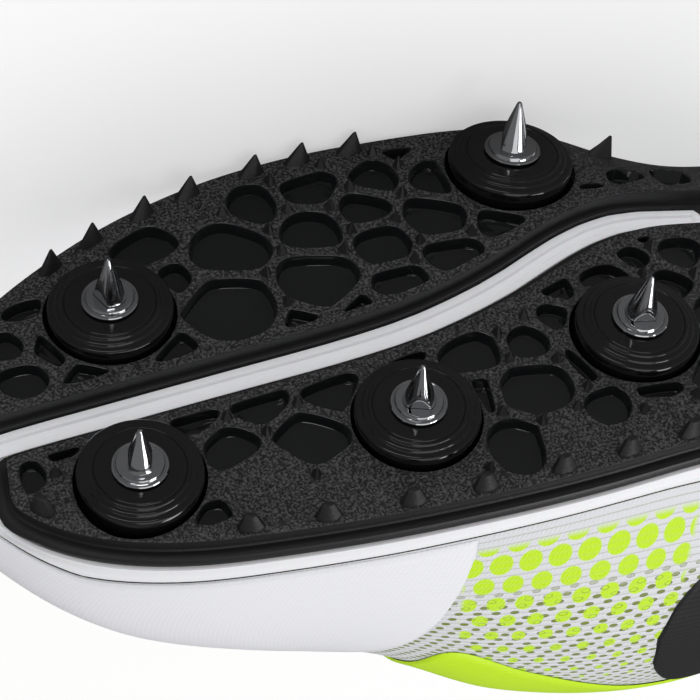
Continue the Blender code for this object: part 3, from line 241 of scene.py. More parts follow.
def points_of(node):
    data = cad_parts[node].data
    out = np.empty(len(data.vertices) * 3)
    data.vertices.foreach_get("co", out)
    return out.reshape(-1, 3)


def tip_of(name):
    """The tip of a spike in the construction model, in metres."""
    seat = points_of("stud_seat_" + name).mean(axis=0)
    spike = points_of("spike_" + name)
    reach = np.linalg.norm(spike - seat, axis=1)
    far = spike[reach.argmax()]
    return spike[np.linalg.norm(spike - far, axis=1) < 0.6 * MM].mean(axis=0)


def fit_rigid(source, target):
    """Rotation and shift that carry the source points onto the target points."""
    a, b = source.mean(axis=0), target.mean(axis=0)
    u, _, vt = np.linalg.svd((source - a).T @ (target - b))
    turn = (u @ np.diag([1.0, 1.0, np.linalg.det(u @ vt)]) @ vt).T
    return turn, b - turn @ a


own_tips = np.array([under(place, SPIKE_END)[0] * MM for place in stud_places().values()])
tips = np.array([tip_of(name) for name in stud_places()])
TURN, SHIFT = fit_rigid(own_tips, tips)
left_over = tips - (own_tips @ TURN.T + SHIFT)
print("lie of the shoe, largest misfit in mm:", round(float(np.abs(left_over).max()) / MM, 3))


def laid(points):
    """Places on the last, in millimetres, as places on the floor, in metres."""
    return np.asarray(points) * MM @ TURN.T + SHIFT


# %% [markdown]
# Blender's shaders work in linear light, but colours are easiest to judge as the sRGB hex values
# of a screen. One function turns one into the other, and one more adds a node with its settings
# and its links, so that each finish below reads as a recipe.

# %% Colours and shader nodes
def linear(code):
    """A linear colour with alpha from an sRGB hex value."""
    parts = [int(code[i:i + 2], 16) / 255 for i in (1, 3, 5)]
    return (*(c / 12.92 if c <= 0.04045 else ((c + 0.055) / 1.055) ** 2.4 for c in parts), 1.0)


def plug(made, value, node, key):
    """Gives a node's input a number, a hex colour, or the output of a (node, output) pair."""
    if isinstance(value, tuple):
        made.node_tree.links.new(value[0].outputs[value[1]], node.inputs[key])
    else:
        node.inputs[key].default_value = linear(value) if isinstance(value, str) else value


def add(made, kind, inputs=(), output=0, **settings):
    """A new node, as the pair of it and one of its outputs. Inputs go in order or by name, and an
    operation may follow the kind after a colon."""
    kind, _, operation = kind.partition(":")
    node = made.node_tree.nodes.new("ShaderNode" + kind)
    if operation:
        node.operation = operation
    for key, value in settings.items():
        setattr(node, key, value)
    for key, value in inputs.items() if isinstance(inputs, dict) else enumerate(inputs):
        plug(made, value, node, key)
    return node, output


def finish(name, code, roughness, metallic=0.0, ior=1.5, **more):
    """A new material with its Principled shader set."""
    made = bpy.data.materials.new(name)
    made.use_nodes = True
    shader = made.node_tree.nodes["Principled BSDF"]
    shader.inputs["Base Color"].default_value = linear(code)
    shader.inputs["Roughness"].default_value = roughness
    shader.inputs["Metallic"].default_value = metallic
    shader.inputs["IOR"].default_value = ior
    for key, value in more.items():
        shader.inputs[key.replace("_", " ")].default_value = value
    return made, shader


def bumped(made, shader, height, strength, depth):
    """Bump from a height, with its depth in millimetres."""
    bump = add(made, "Bump", {"Strength": strength, "Distance": depth * MM, "Height": height})
    plug(made, bump, shader, "Normal")


def noise(made, size, detail):
    """Noise of a size in millimetres, in the object's own space."""
    place = add(made, "TexCoord", output="Object")
    return add(made, "TexNoise", {"Scale": 1 / (size * MM), "Detail": detail, "Vector": place})


def grained(name, code, roughness, grain, **more):
    """A finish of one colour with a bumpy grain: its size, detail, strength and depth."""
    made, shader = finish(name, code, roughness, **more)
    size, detail, strength, depth = grain
    bumped(made, shader, noise(made, size, detail), strength, depth)
    return made


# %% [markdown]
# The plates are injection-moulded nylon. The mould is spark-eroded where the web touches the
# ground, which leaves a grain of about a third of a millimetre that glitters in the light, and
# polished inside the pockets, which gives a black mirror. So the plate has two finishes. The
# glitter of the grain is painted into the eroded finish's colour as light flecks.

# %% Moulded black nylon, eroded and polished
def eroded_nylon():
    """Spark-eroded black nylon: matt, with a bumpy grain, and its glitter painted as light flecks in the
    colour.
    """
    made, shader = finish("moulded_nylon_eroded", "#2C2C2D", 0.5, ior=1.53)
    # a grain of 0.35 mm, drawn at 0.4 to 0.5 mm so that it shows
    place = add(made, "TexCoord", output="Object")
    grain = add(made, "TexVoronoi", {"Scale": 1 / (0.5 * MM), "Vector": place})
    # painted glints: light grey flecks mixed into the dark colour stand for the glitter of the grain
    glint_share = add(made, "MapRange", {"Value": noise(made, 0.42, 2.0), "From Min": 0.42,
                                     "From Max": 0.66})
    painted_glints = add(made, "Mix", {0: glint_share, 6: "#161617", 7: "#4A4A4C"}, 2, data_type="RGBA")
    plug(made, painted_glints, shader, "Base Color")
    bumped(made, shader, grain, 0.7, 0.12)
    return made


NYLON = [
    eroded_nylon(),
    # a black mirror with the faint slow ripple of a polished mould
    grained("moulded_nylon_polished", "#141516", 0.10, (9.0, 1.0, 0.25, 0.1), ior=1.53,
            Coat_Weight=0.4, Coat_Roughness=0.06),
    # the rim is satin, between the two
    grained("moulded_nylon_satin", "#1B1B1C", 0.42, (0.6, 3.0, 0.5, 0.1), ior=1.53),
]
ERODED, POLISHED, RIM = range(3)


# %% [markdown]
# Every piece is put together from rings: closed loops of points that are joined by bands, and
# filled where they enclose a flat area. A piece collects its points on the last and is laid on
# the floor only at the end.

# %% Pieces from rings, bands and filled areas
def triangles_in(loops, extra=()):
    """Triangles of the area inside the first loop and outside the others, as point indices."""
    points = [p for loop in loops for p in loop] + list(extra)
    edges, start = [], 0
    for loop in loops:
        count = len(loop)
        edges += [(start + k, start + (k + 1) % count) for k in range(count)]
        start += count
    flat = [Vector((float(p[0]), float(p[1]))) for p in points]
    out, _, faces, origin, _, _ = delaunay_2d_cdt(flat, edges, [], 0, 1e-6)
    lows = [loop.min(axis=0) for loop in loops]
    highs = [loop.max(axis=0) for loop in loops]
    kept = []
    for face in faces:
        corners = np.array([out[i] for i in face])
        middle = corners.mean(axis=0)
        if abs(area_of(corners)) < 1e-4 or not inside(middle, loops[0]):
            continue
        if any((low < middle).all() and (middle < high).all() and inside(middle, hole)
               for hole, low, high in zip(loops[1:], lows[1:], highs[1:])):
            continue
        kept.append([origin[i][0] for i in face])
    return kept


def grid_inside(polygon, pitch):
    low, high = polygon.min(axis=0), polygon.max(axis=0)
    margin = inset(polygon, 0.45 * pitch)
    return [np.array([x, y])
            for x in np.arange(low[0] + pitch / 2, high[0], pitch)
            for y in np.arange(low[1] + pitch / 2, high[1], pitch)
            if inside((x, y), margin)]


class Piece:
    """Points and faces of one piece, on the last and in millimetres."""

    def __init__(self):
        self.points, self.faces, self.finishes, self.maps = [], [], [], {}

    def ring(self, points):
        start = len(self.points)
        self.points.extend(np.asarray(points, float))
        return list(range(start, start + len(points)))

    def face(self, corners, finish=0):
        self.faces.append(corners)
        self.finishes.append(finish)

    def band(self, low, high, finish=0, closed=True):
        for k in range(len(low) if closed else len(low) - 1):
            n = (k + 1) % len(low)
            self.face((low[k], low[n], high[n], high[k]), finish)

    def bands(self, rings, finish=0, closed=True):
        for low, high in zip(rings, rings[1:]):
            self.band(low, high, finish, closed)

    def fan(self, ring, finish=0, tip=None):
        middle = np.mean([self.points[i] for i in ring], axis=0) if tip is None else tip
        top = self.ring([middle])[0]
        for k in range(len(ring)):
            self.face((ring[k], ring[(k + 1) % len(ring)], top), finish)

    def fill(self, rings, loops, extra=(), lifted=None, finish=0):
        indices = [i for ring in rings for i in ring]
        if len(extra):
            indices += self.ring(lifted(np.array(extra)))
        for face in triangles_in(loops, extra):
            self.face([indices[i] for i in face], finish)

    def made(self, name, materials, slot, nodes=(), angle=32.0, levels=0):
        """The finished object, which rides with the shoe and stands for its solids."""
        data = bpy.data.meshes.new(name)
        data.from_pydata(laid(self.points).tolist(), [], self.faces)
        data.polygons.foreach_set("material_index", self.finishes)
        if self.maps:
            layer = data.uv_layers.new(name="sheet")
            for loop in data.loops:
                layer.data[loop.index].uv = self.maps.get(loop.vertex_index, (0.0, 0.0))
        for made in materials:
            data.materials.append(made)
        mesh = bmesh.new()
        mesh.from_mesh(data)
        bmesh.ops.recalc_face_normals(mesh, faces=mesh.faces)
        if mesh.calc_volume(signed=True) < 0:
            bmesh.ops.reverse_faces(mesh, faces=mesh.faces)
        mesh.to_mesh(data)
        mesh.free()
        data.shade_smooth()
        data.set_sharp_from_angle(angle=math.radians(angle))
        obj = bpy.data.objects.new(name, data)
        bpy.context.scene.collection.objects.link(obj)
        if levels:
            smooth = obj.modifiers.new("smooth", "SUBSURF")
            smooth.levels = smooth.render_levels = levels
        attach(obj, "root")
        if nodes:
            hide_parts(*nodes)
        print(name, "faces:", len(data.polygons))
        return obj


# %% [markdown]
# The pockets of the web follow a chart: one row for each cell, with its place and size. Where
# two cells meet, the web between them is a strip of even width, so each cell is its ellipse cut
# back half a web from its neighbours, from the rim, and from the studs and teeth.

# %% Chart of the honeycomb cells
WEB_WIDTH = 2.1
RIM_WIDTH = 1.7
STUD_MARGIN = 0.9
CELL_SLACK = 1.18
CORNER_CUT = 1.4
SLIVER = 0.38
OUTLINE_PITCH = 6.0
TOOTH_HEIGHT = 4.0
TOOTH_LENGTH = 4.5
TOOTH_DEPTH = 2.2
TOOTH_INSET = 1.5
TOOTH_MARGIN = 0.5
POINT_HEIGHT = 2.0
POINT_RADIUS = 1.7
POINT_MARGIN = 0.25
LATERAL_PLATE_END = 100.0
MEDIAL_PLATE_END = 122.0
CHANNEL_WIDTH = 5.4

# from_toe: percent of LENGTH. from_axis, long and wide: percent of BALL_WIDTH
CELL_COLUMNS = ("from_toe", "from_axis", "long", "wide")
MEDIAL_CELLS = {
    "rim": ((8.6, 25, 8, 4), (13.8, 35, 7, 3), (16.4, 38, 10, 3), (20.6, 37, 13, 8),
            (27.9, 41, 12, 4), (31.4, 39, 10, 4), (34.4, 37, 8, 3)),
    "outer": ((6.5, 17, 5, 8), (17.1, 31, 15, 11), (24.5, 33, 12, 11), (28.0, 33, 14, 9),
              (32.3, 33, 11, 12), (36.2, 27, 15, 11)),
    "middle": ((8.5, 13, 5, 8), (17.7, 21, 8, 10), (21.6, 24, 17, 15), (26.8, 23, 14, 12),
               (30.5, 25, 12, 10), (34.5, 18, 13, 12)),
    "inner": ((6.4, 9, 9, 9), (20.0, 11, 19, 17), (25.5, 11, 17, 14), (30.4, 15, 12, 10),
              (34.1, 8, 12, 8), (38.2, 13, 11, 9), (41.4, 16, 14, 7), (44.8, 16, 7, 3),
              (47.7, 18, 9, 8), (51.0, 19, 8, 7)),
    "channel": ((10.1, 6, 12, 4), (15.4, 5, 12, 5), (23.4, 3, 9, 4), (27.1, 2, 7, 3),
                (30.2, 5, 13, 6)),
}
LATERAL_CELLS = {
    "channel": ((4.1, -13, 5, 8), (6.4, -11, 6, 3), (14.6, -14, 10, 5), (18.5, -15, 12, 8),
                (22.9, -17, 12, 9), (28.1, -14, 10, 4), (34.6, -12, 11, 3), (39.1, -8, 6, 5),
                (42.2, -8, 10, 6), (44.6, -4, 6, 5), (45.9, 2, 6, 4), (48.1, 3, 8, 4),
                (52.0, 1, 12, 11), (56.0, -1, 12, 11)),
    "inner": ((5.1, -21, 5, 5), (15.9, -23, 11, 9), (31.8, -18, 12, 10), (35.4, -19, 8, 8),
              (37.9, -14, 6, 6), (46.2, -12, 8, 7), (48.0, -4, 9, 10), (50.2, -12, 12, 12),
              (54.2, -11, 12, 12), (58.2, -12, 12, 12)),
    "middle": ((20.4, -26, 15, 11), (31.4, -28, 4, 10), (34.6, -30, 13, 12), (38.1, -27, 5, 9),
               (48.4, -22, 12, 12), (52.3, -22, 12, 12), (56.4, -23, 12, 12),
               (60.2, -22, 11, 11)),
    "outer": ((13.2, -35, 8, 4), (16.7, -33, 17, 13), (38.2, -38, 9, 8), (41.8, -37, 9, 4),
              (45.8, -34, 12, 11), (50.2, -33, 12, 11), (54.4, -33, 11, 9)),
    "rim": ((21.9, -39, 14, 10), (26.8, -42, 11, 3), (31.8, -41, 10, 13), (35.2, -43, 8, 10),
            (41.2, -45, 7, 6)),
}


# Teeth on the rim, in percent of LENGTH from the toe and of BALL_WIDTH from the axis. Each one is
# moved to the nearest place on the rim. lean: how far its top is moved toward the toe, as a share
# of its length. blunt: size of its top as a share of its foot.
TOOTH_COLUMNS = ("from_toe", "from_axis")
MEDIAL_TEETH = ((11.6, 34), (14.5, 38), (18.2, 41), (21.4, 42), (25.7, 43), (28.8, 42),
                (32.2, 42), (38.4, 38), (44.9, 33), (47.8, 30))
LATERAL_TEETH = ((4.3, -20), (6.3, -29), (14.8, -39), (19.2, -42), (24.4, -45), (28.7, -47),
                 (33.6, -48), (37.9, -49), (42.1, -50))
MEDIAL_LEAN, MEDIAL_BLUNT = -0.18, 0.10
LATERAL_LEAN, LATERAL_BLUNT = 0.08, 0.42


# %% Cells, feet of the small pyramids, and rim teeth
def clip(polygon, normal, offset):
    """The part of a polygon where normal . p >= offset."""
    out = []
    for i in range(len(polygon)):
        a, b = polygon[i], polygon[(i + 1) % len(polygon)]
        da, db = float(normal @ a) - offset, float(normal @ b) - offset
        if da >= 0:
            out.append(a)
        if (da >= 0) != (db >= 0):
            out.append(a + (b - a) * (da / (da - db)))
    return np.array(out)


def cut_corners(polygon, cut):
    """Each sharp corner replaced by two points, and edges too short for that joined."""
    merged = [p for i, p in enumerate(polygon)
              if np.linalg.norm(p - polygon[i - 1]) > 0.6 * cut]
    out = []
    for i in range(len(merged)):
        arms = [merged[i - 1] - merged[i], merged[(i + 1) % len(merged)] - merged[i]]
        lengths = [float(np.linalg.norm(arm)) + 1e-9 for arm in arms]
        if arms[0] @ arms[1] < -0.72 * lengths[0] * lengths[1]:
            out.append(merged[i])
            continue
        out += [merged[i] + arm / length * min(cut, 0.33 * length)
                for arm, length in zip(arms, lengths)]
    return np.array(out)


def softened(polygon, times):
    """Corners rounded by cutting them again and again."""
    for _ in range(times):
        after = np.roll(polygon, -1, axis=0)
        polygon = np.stack([0.75 * polygon + 0.25 * after, 0.25 * polygon + 0.75 * after],
                           axis=1).reshape(-1, 2)
    return polygon


def charted(chart):
    """Each charted cell's middle and its half length and half width."""
    cells = [dict(zip(CELL_COLUMNS, row)) for rows in chart.values() for row in rows]
    return [(np.array([LENGTH * (1 - c["from_toe"] / 100), BALL_WIDTH * c["from_axis"] / 100]),
             np.array([c["long"], c["wide"]]) * BALL_WIDTH / 200) for c in cells]


def reach_of(half, direction):
    """How far an ellipse with these half sizes reaches in a direction."""
    return 1.0 / float(np.linalg.norm(direction / half))


def honeycomb(seeds, border, obstacles):
    """The cells around the seeds, and the corners where webs meet."""
    edges = []
    for i, a in enumerate(border):
        along = border[(i + 1) % len(border)] - a
        edges.append((a + along / 2, np.array([-along[1], along[0]]) / np.linalg.norm(along)))
    turn = np.linspace(0, 2 * math.pi, 9, endpoint=False) + 0.1
    circle = np.stack([np.cos(turn), np.sin(turn)], axis=1)
    cells, corners = [], []
    for i, (seed, half) in enumerate(seeds):
        cell, full = seed + circle * half * CELL_SLACK, seed + circle * (half + WEB_WIDTH) * 1.3
        for j, (other, size) in enumerate(seeds):
            apart = float(np.linalg.norm(seed - other))
            if i == j or apart > half.max() + size.max() + 2 * WEB_WIDTH:
                continue
            away = (other - seed) / apart
            mine, theirs = reach_of(half, away), reach_of(size, away)
            limit = float(-away @ seed) - apart * mine / (mine + theirs)
            cell = clip(cell, -away, limit + WEB_WIDTH / 2)
            full = clip(full, -away, limit)
        for place, radius in obstacles:
            toward = seed - place
            apart = float(np.linalg.norm(toward))
            if len(cell) and apart < half.max() * CELL_SLACK + radius:
                toward /= apart
                cell = clip(cell, toward, float(toward @ place) + radius)
        for place, inward in edges:
            if np.linalg.norm(place - seed) < half.max() + 2 * OUTLINE_PITCH and len(cell):
                cell = clip(cell, inward, float(inward @ place) + RIM_WIDTH)
        corners.extend(full)
        cut = cut_corners(cell, min(CORNER_CUT, 0.3 * half.min())) if len(cell) > 2 else cell
        if len(cut) > 5:
            around = np.linalg.norm(cut - np.roll(cut, 1, axis=0), axis=1).sum()
            if 4 * math.pi * area_of(cut) > SLIVER * around ** 2:
                cells.append(cut)
    return cells, corners


def clear_of(points, loops, margin):
    """Whether a small outline keeps off every loop by a margin."""
    for loop in loops:
        if np.abs(loop - points.mean(axis=0)).min() > 3 * TOOTH_LENGTH:
            continue
        if any(inside(p, loop) or distance_to(p, loop) < margin for p in points):
            return False
        if any(inside(p, points) or distance_to(p, points) < margin for p in loop):
            return False
    return True


def off_studs(points):
    return all(np.linalg.norm(p - stud) > SEAT_RADIUS + STUD_MARGIN
               for p in points for stud in stud_places().values())


def web_points(corners, seeds, loops, web):
    """Feet of the small pyramids, one arm along each of the three webs that meet there."""
    feet = []
    for corner in corners:
        if any(np.linalg.norm(corner - foot.mean(axis=0)) < 2.4 * POINT_RADIUS for foot in feet):
            continue
        near = sorted((s for s, _ in seeds), key=lambda s: np.linalg.norm(s - corner))[:3]
        webs = []
        for k in range(3):
            a, b, c = near[k], near[(k + 1) % 3], near[(k + 2) % 3]
            along = np.array([-(b - a)[1], (b - a)[0]]) / np.linalg.norm(b - a)
            webs.append(along if along @ (c - corner) < 0 else -along)
        webs.sort(key=lambda w: math.atan2(w[1], w[0]))
        foot = np.array([corner + w * POINT_RADIUS for w in webs])
        if (area_of(foot) > 0.8 * POINT_RADIUS ** 2 and off_studs(foot)
                and all(inside(p, web) and distance_to(p, web) > 0.5 for p in foot)
                and clear_of(foot, loops + feet, POINT_MARGIN)):
            feet.append(foot)
    return feet


def rim_teeth(web, chart, lean, blunt):
    """Foot and top outlines of the teeth that stand along one side's rim."""
    line = spaced(inset(web, TOOTH_INSET), 0.5, True)
    ways = np.roll(line, -1, axis=0) - np.roll(line, 1, axis=0)
    teeth = []
    for row in chart:
        tooth = dict(zip(TOOTH_COLUMNS, row))
        wanted = np.array([LENGTH * (1 - tooth["from_toe"] / 100),
                           BALL_WIDTH * tooth["from_axis"] / 100])
        nearest = int(np.argmin(np.linalg.norm(line - wanted, axis=1)))
        along = ways[nearest] / np.linalg.norm(ways[nearest])
        if along[0] < 0:
            along = -along
        across = np.array([-along[1], along[0]])
        middle = line[nearest] - along * lean * TOOTH_LENGTH
        foot = np.array([middle + along * u * TOOTH_LENGTH / 2 + across * v * TOOTH_DEPTH / 2
                         for u, v in ((-1, -1), (1, -1), (1, 1), (-1, 1))])
        if off_studs(foot) and all(inside(p, web) and distance_to(p, web) > 0.2 for p in foot):
            teeth.append((foot, line[nearest] + (foot - middle) * blunt))
    return teeth


# %% Outlines of the two plates
def channel_side(side):
    """One side of the channel, from the toe back."""
    along = np.gradient(CHANNEL, axis=0)
    along /= np.linalg.norm(along, axis=1)[:, None]
    return CHANNEL + np.stack([along[:, 1], -along[:, 0]], axis=1) * side * CHANNEL_WIDTH / 2


def stretch(line, high, low):
    """The part of a line between two stations, from the higher x to the lower."""
    line = line[np.argsort(-line[:, 0], kind="stable")]
    return line[(line[:, 0] < high) & (line[:, 0] > low)]


def smoothed(polygon, radius):
    """Corners eased by averaging over about the given radius."""
    fine = spaced(polygon, radius / 4, True)
    for _ in range(6):
        fine = (np.roll(fine, 1, axis=0) + fine * 2 + np.roll(fine, -1, axis=0)) / 4
    return fine


def joined(parts, pitch, radius):
    """A counter-clockwise outline from open stretches, with the joints between them rounded."""
    points = np.vstack([spaced(part, OUTLINE_PITCH, False) for part in parts])
    if area_of(points) < 0:
        points = points[::-1]
    keep = np.linalg.norm(points - np.roll(points, 1, axis=0), axis=1) > 0.25 * OUTLINE_PITCH
    return spaced(smoothed(points[keep], radius), pitch, True)


def medial_outline(pitch):
    rim = stretch(OUTER[OUTER[:, 1] > 0.02 * BALL_WIDTH], 0.992 * LENGTH, MEDIAL_PLATE_END)
    inner = stretch(channel_side(1), 0.985 * LENGTH, MEDIAL_PLATE_END + 0.02 * LENGTH)
    inner = inner[[inside(p, OUTER) for p in inner]]
    return joined([rim, inner[::-1]], pitch, 5.0)


def lateral_outline(pitch):
    rim = stretch(OUTER[OUTER[:, 1] < -0.03 * BALL_WIDTH], 0.985 * LENGTH,
                  LATERAL_PLATE_END + 0.02 * LENGTH)
    inner = stretch(channel_side(-1), 0.975 * LENGTH, LATERAL_PLATE_END)
    inner = inner[[inside(p, inset(OUTER, 2.0)) for p in inner]]
    return joined([rim, inner[::-1]], pitch, 5.0)


# %% [markdown]
# A moulded edge is never sharp. From the midsole down, the rim is a wall, a rounded shoulder, a
# ledge with a thin groove, and a second wall up to the web. Each pocket has a rounded mouth, a
# wall that leans a little for the mould to open, and a rounded corner at its floor. These small
# rounds catch the long thin highlights in the photograph.

# %% Fine plates
FINE = 1.6
# rim profile from the midsole to the web: inset from the outline, depth, finish
RIM_PROFILE = (
    (0.00, 0.0, RIM), (0.00, 0.5, RIM), (0.02, 1.9, RIM), (0.14, 2.2, RIM), (0.40, 2.3, RIM),
    (0.85, 2.3, RIM), (0.95, 2.18, RIM), (1.10, 2.18, RIM), (1.20, 2.36, RIM), (1.28, 2.7, RIM),
    (1.31, 4.2, RIM), (1.34, 4.5, RIM), (1.42, 4.6, ERODED),
)
MOUTH_ROUND = 0.34
# pocket profile: share of the mouth's round for the first rows, then of the depth
POCKET_WALL = ((0.72, 0.10), (0.28, 0.16), (0.0, 0.42))
POCKET_FOOT = ((0.16, 0.50), (0.30, 0.16), (0.62, 0.0))


def inner_radius(cell):
    middle = cell.mean(axis=0)
    return distance_to(middle, cell)


def shrunk(cell, distance):
    """A cell drawn in toward its middle by about a distance."""
    middle = cell.mean(axis=0)
    return middle + (cell - middle) * (1.0 - distance / max(inner_radius(cell), 1.3 * distance))


def pocket(piece, cell, deep, base, soft):
    """Bands from the mouth of a pocket to its floor. Returns the mouth's loop and ring."""
    mouth = inset(cell, -soft)
    top = piece.ring(under(mouth, deep))
    rings = [top]
    for share, drop in POCKET_WALL:
        rings.append(piece.ring(under(inset(cell, -soft * share), deep - drop)))
    foot = min(1.0, 0.35 * inner_radius(cell))
    for toward, lift in POCKET_FOOT:
        rings.append(piece.ring(under(shrunk(cell, toward * foot), base + lift * foot)))
    piece.band(rings[0], rings[1], ERODED)
    piece.bands(rings[1:], POLISHED)
    middle = cell.mean(axis=0)
    piece.fan(rings[-1], POLISHED, under(middle, base - 0.02)[0])
    return mouth, top


def room(cell, loops):
    """The least distance from a cell to any of some small loops."""
    near = [loop for loop in loops if np.linalg.norm(loop.mean(axis=0) - cell.mean(axis=0)) < 16]
    return min([distance_to(p, cell) for loop in near for p in loop]
               + [distance_to(p, loop) for loop in near for p in cell] + [9.0])


def tooth(piece, base, end, deep, height):
    """A small pyramid with slightly rounded edges, from its foot to its blunt top."""
    loop, top = softened(base, 1), softened(end, 1)
    foot = piece.ring(under(loop, deep))
    rings = [foot]
    for share in (0.12, 0.5, 0.9, 0.98):
        bend = share ** 0.96
        rings.append(piece.ring(under(loop * (1 - bend) + top * bend, deep + height * share)))
    rings.append(piece.ring(under(top.mean(axis=0) * 0.25 + top * 0.75, deep + height)))
    piece.bands(rings, RIM)
    piece.fan(rings[-1], RIM)
    return loop, foot


def fine_plate(name, outline, ledge, cells, teeth, points, sunk, studs):
    piece = Piece()
    wide = ledge / RIM_PROFILE[-1][0]
    rings = [piece.ring(under(inset(outline, d * wide), max(depth, sunk)))
             for d, depth, _ in RIM_PROFILE]
    for (low, high), (_, _, kind) in zip(zip(rings, rings[1:]), RIM_PROFILE[1:]):
        piece.band(low, high, kind)
    piece.fill([rings[0]], [outline], grid_inside(outline, 9.0), lambda p: under(p, sunk), RIM)
    deep = WEB_TOP
    loops, tops = [inset(outline, RIM_PROFILE[-1][0] * wide)], [rings[-1]]
    small = [foot for foot, _ in teeth] + points
    for cell in cells:
        fine = softened(cell, 2)
        soft = min(MOUTH_ROUND, room(fine, small) - 0.06)
        mouth, top = pocket(piece, fine, deep, PLATE_BASE, soft)
        loops.append(mouth)
        tops.append(top)
    turn = np.linspace(0, 2 * math.pi, 72, endpoint=False)
    circle = np.stack([np.cos(turn), np.sin(turn)], axis=1)
    for place in studs:
        well = place + circle * (SEAT_RADIUS + GAP)
        mouth, top = pocket(piece, well, deep, PLATE_BASE, 0.12)
        loops.append(mouth)
        tops.append(top)
    for base, end in teeth:
        loop, foot = tooth(piece, base, end, deep, TOOTH_HEIGHT)
        loops.append(loop)
        tops.append(foot)
    for base in points:
        end = base.mean(axis=0) * 0.92 + base * 0.08
        loop, foot = tooth(piece, base, end, deep, POINT_HEIGHT)
        loops.append(loop)
        tops.append(foot)
    piece.fill(tops, loops, finish=ERODED)
    return piece.made(name + "_moulding", NYLON, "plate_black", [name], 40.0)


def fine_plates():
    sides = (
        ("plate_medial", medial_outline, LEDGE, MEDIAL_CELLS, MEDIAL_TEETH,
         MEDIAL_LEAN, MEDIAL_BLUNT, 0.78),
        ("plate_lateral", lateral_outline, LATERAL_LEDGE, LATERAL_CELLS, LATERAL_TEETH,
         LATERAL_LEAN, LATERAL_BLUNT, 0.96),
    )
    for name, outline_of, ledge, chart, tooth_chart, lean, blunt, points_from in sides:
        web = inset(outline_of(OUTLINE_PITCH), ledge)
        teeth = rim_teeth(web, tooth_chart, lean, blunt)
        feet = [foot for foot, _ in teeth]
        obstacles = [(place, SEAT_RADIUS + STUD_MARGIN) for place in stud_places().values()]
        obstacles += [(foot.mean(axis=0), TOOTH_DEPTH / 2 + TOOTH_MARGIN) for foot in feet]
        seeds = charted(chart)
        cells, corners = honeycomb(seeds, web, obstacles)
        cells = [cell for cell in cells if clear_of(cell, feet, POINT_MARGIN)]
        corners = [c for c in corners if c[0] < points_from * LENGTH]
        points = web_points(corners, seeds, cells + feet, web)
        studs = [place for place in stud_places().values() if inside(place, web)]
        fine_plate(name, outline_of(FINE), ledge, cells, teeth, points, PLATE_SEAT, studs)


fine_plates()

# %% Heel pad
HEEL_PAD_LENGTH = 78.0
HEEL_CELL_PITCH = 13.5


def heel_outline(pitch):
    edge = inset(OUTER, 0.6)
    back = edge[edge[:, 0] < HEEL_PAD_LENGTH]
    first = np.argmax(np.linalg.norm(back - np.roll(back, 1, axis=0), axis=1))
    return joined([np.roll(back, -first, axis=0)], pitch, 6.0)


def fine_heel_pad():
    web = inset(heel_outline(7.0), LEDGE)
    low, high = web.min(axis=0), web.max(axis=0)
    seeds = []
    row = HEEL_CELL_PITCH * math.sqrt(3) / 2
    for i, x in enumerate(np.arange(low[0] + 7.0, high[0] - 4.0, row)):
        shift = HEEL_CELL_PITCH / 2 if i % 2 else 0.0
        for y in np.arange(-6, 7) * HEEL_CELL_PITCH + shift:
            if low[1] < y < high[1] and inside((x, y), inset(web, RIM_WIDTH + 2.0)):
                seeds.append((np.array([x, y]), np.full(2, 0.5 * HEEL_CELL_PITCH)))
    cells, _ = honeycomb(seeds, web, [])
    fine_plate("heel_pad", heel_outline(FINE), LEDGE, cells, [], [], HEEL_SEAT, [])


fine_heel_pad()


# %% [markdown]
# Each stud is a seat of glossy moulded plastic, stepped like a flat wedding cake, and a chromed
# steel spike screwed into it: a double flange, and a blade that is a cone with flats ground on
# it. Both are turned shapes, so a profile of radius and height is spun about the stud's axis.

# %% Studs
# moulded glossy plastic: nearly a mirror, with weak flow marks
GLOSS = grained("abs_gloss_moulded", "#0D0D0E", 0.09, (5.0, 2.0, 0.12, 0.06), ior=1.54,
                Coat_Weight=0.6, Coat_Roughness=0.04)
# chrome over turning marks of 0.2 mm, which are drawn at 0.6 mm so that they show
STEEL = grained("steel_turned_chromed", "#D6D7DA", 0.09, (0.6, 2.0, 0.12, 0.05), metallic=1.0)
# seat profile: radius, height over the web
SEAT_PROFILE = (
    (0.0, -2.0), (10.5, -2.0), (10.8, -1.7), (10.8, 0.2), (10.86, 0.5), (10.86, 1.6),
    (10.78, 2.05), (10.55, 2.3), (10.3, 2.36), (9.75, 2.44), (9.62, 2.5), (9.56, 2.68),
    (9.42, 2.86), (9.15, 2.92), (8.75, 2.96), (8.64, 3.02), (8.58, 3.2), (8.45, 3.33),
    (8.2, 3.38), (8.05, 3.34), (7.95, 3.2), (7.86, 3.2), (7.76, 3.36), (7.6, 3.46), (7.35, 3.48),
    (2.7, 3.48), (2.7, 0.2), (0.0, 0.2),
)
# flange profile: radius, height over the crown
FLANGE_PROFILE = (
    (0.0, -2.9), (2.4, -2.9), (2.4, 0.3), (4.72, 0.3), (4.9, 0.42), (4.92, 0.62), (4.8, 0.8),
    (4.52, 0.86), (4.42, 0.8), (4.3, 0.84), (4.24, 1.0), (4.2, 1.2), (4.05, 1.42), (3.8, 1.5),
    (3.55, 1.46),
)
# blade: rise over the flange's top, with the share of the cone's width that is kept there
BLADE_ROWS = ((0.0, 1.0), (0.15, 0.985), (0.9, 1.0), (1.8, 1.0), (2.5, 1.0), (3.4, 1.0),
              (5.0, 1.0), (7.0, 1.0), (8.6, 1.0), (8.9, 0.75), (9.0, 0.3))


def stud_axes(place):
    normal = sole_normals(*place)
    side = np.array([1.0, 0, 0]) - normal * normal[0]
    side /= np.linalg.norm(side)
    return np.array([*place, datum(*place)]), side, np.cross(normal, side), normal


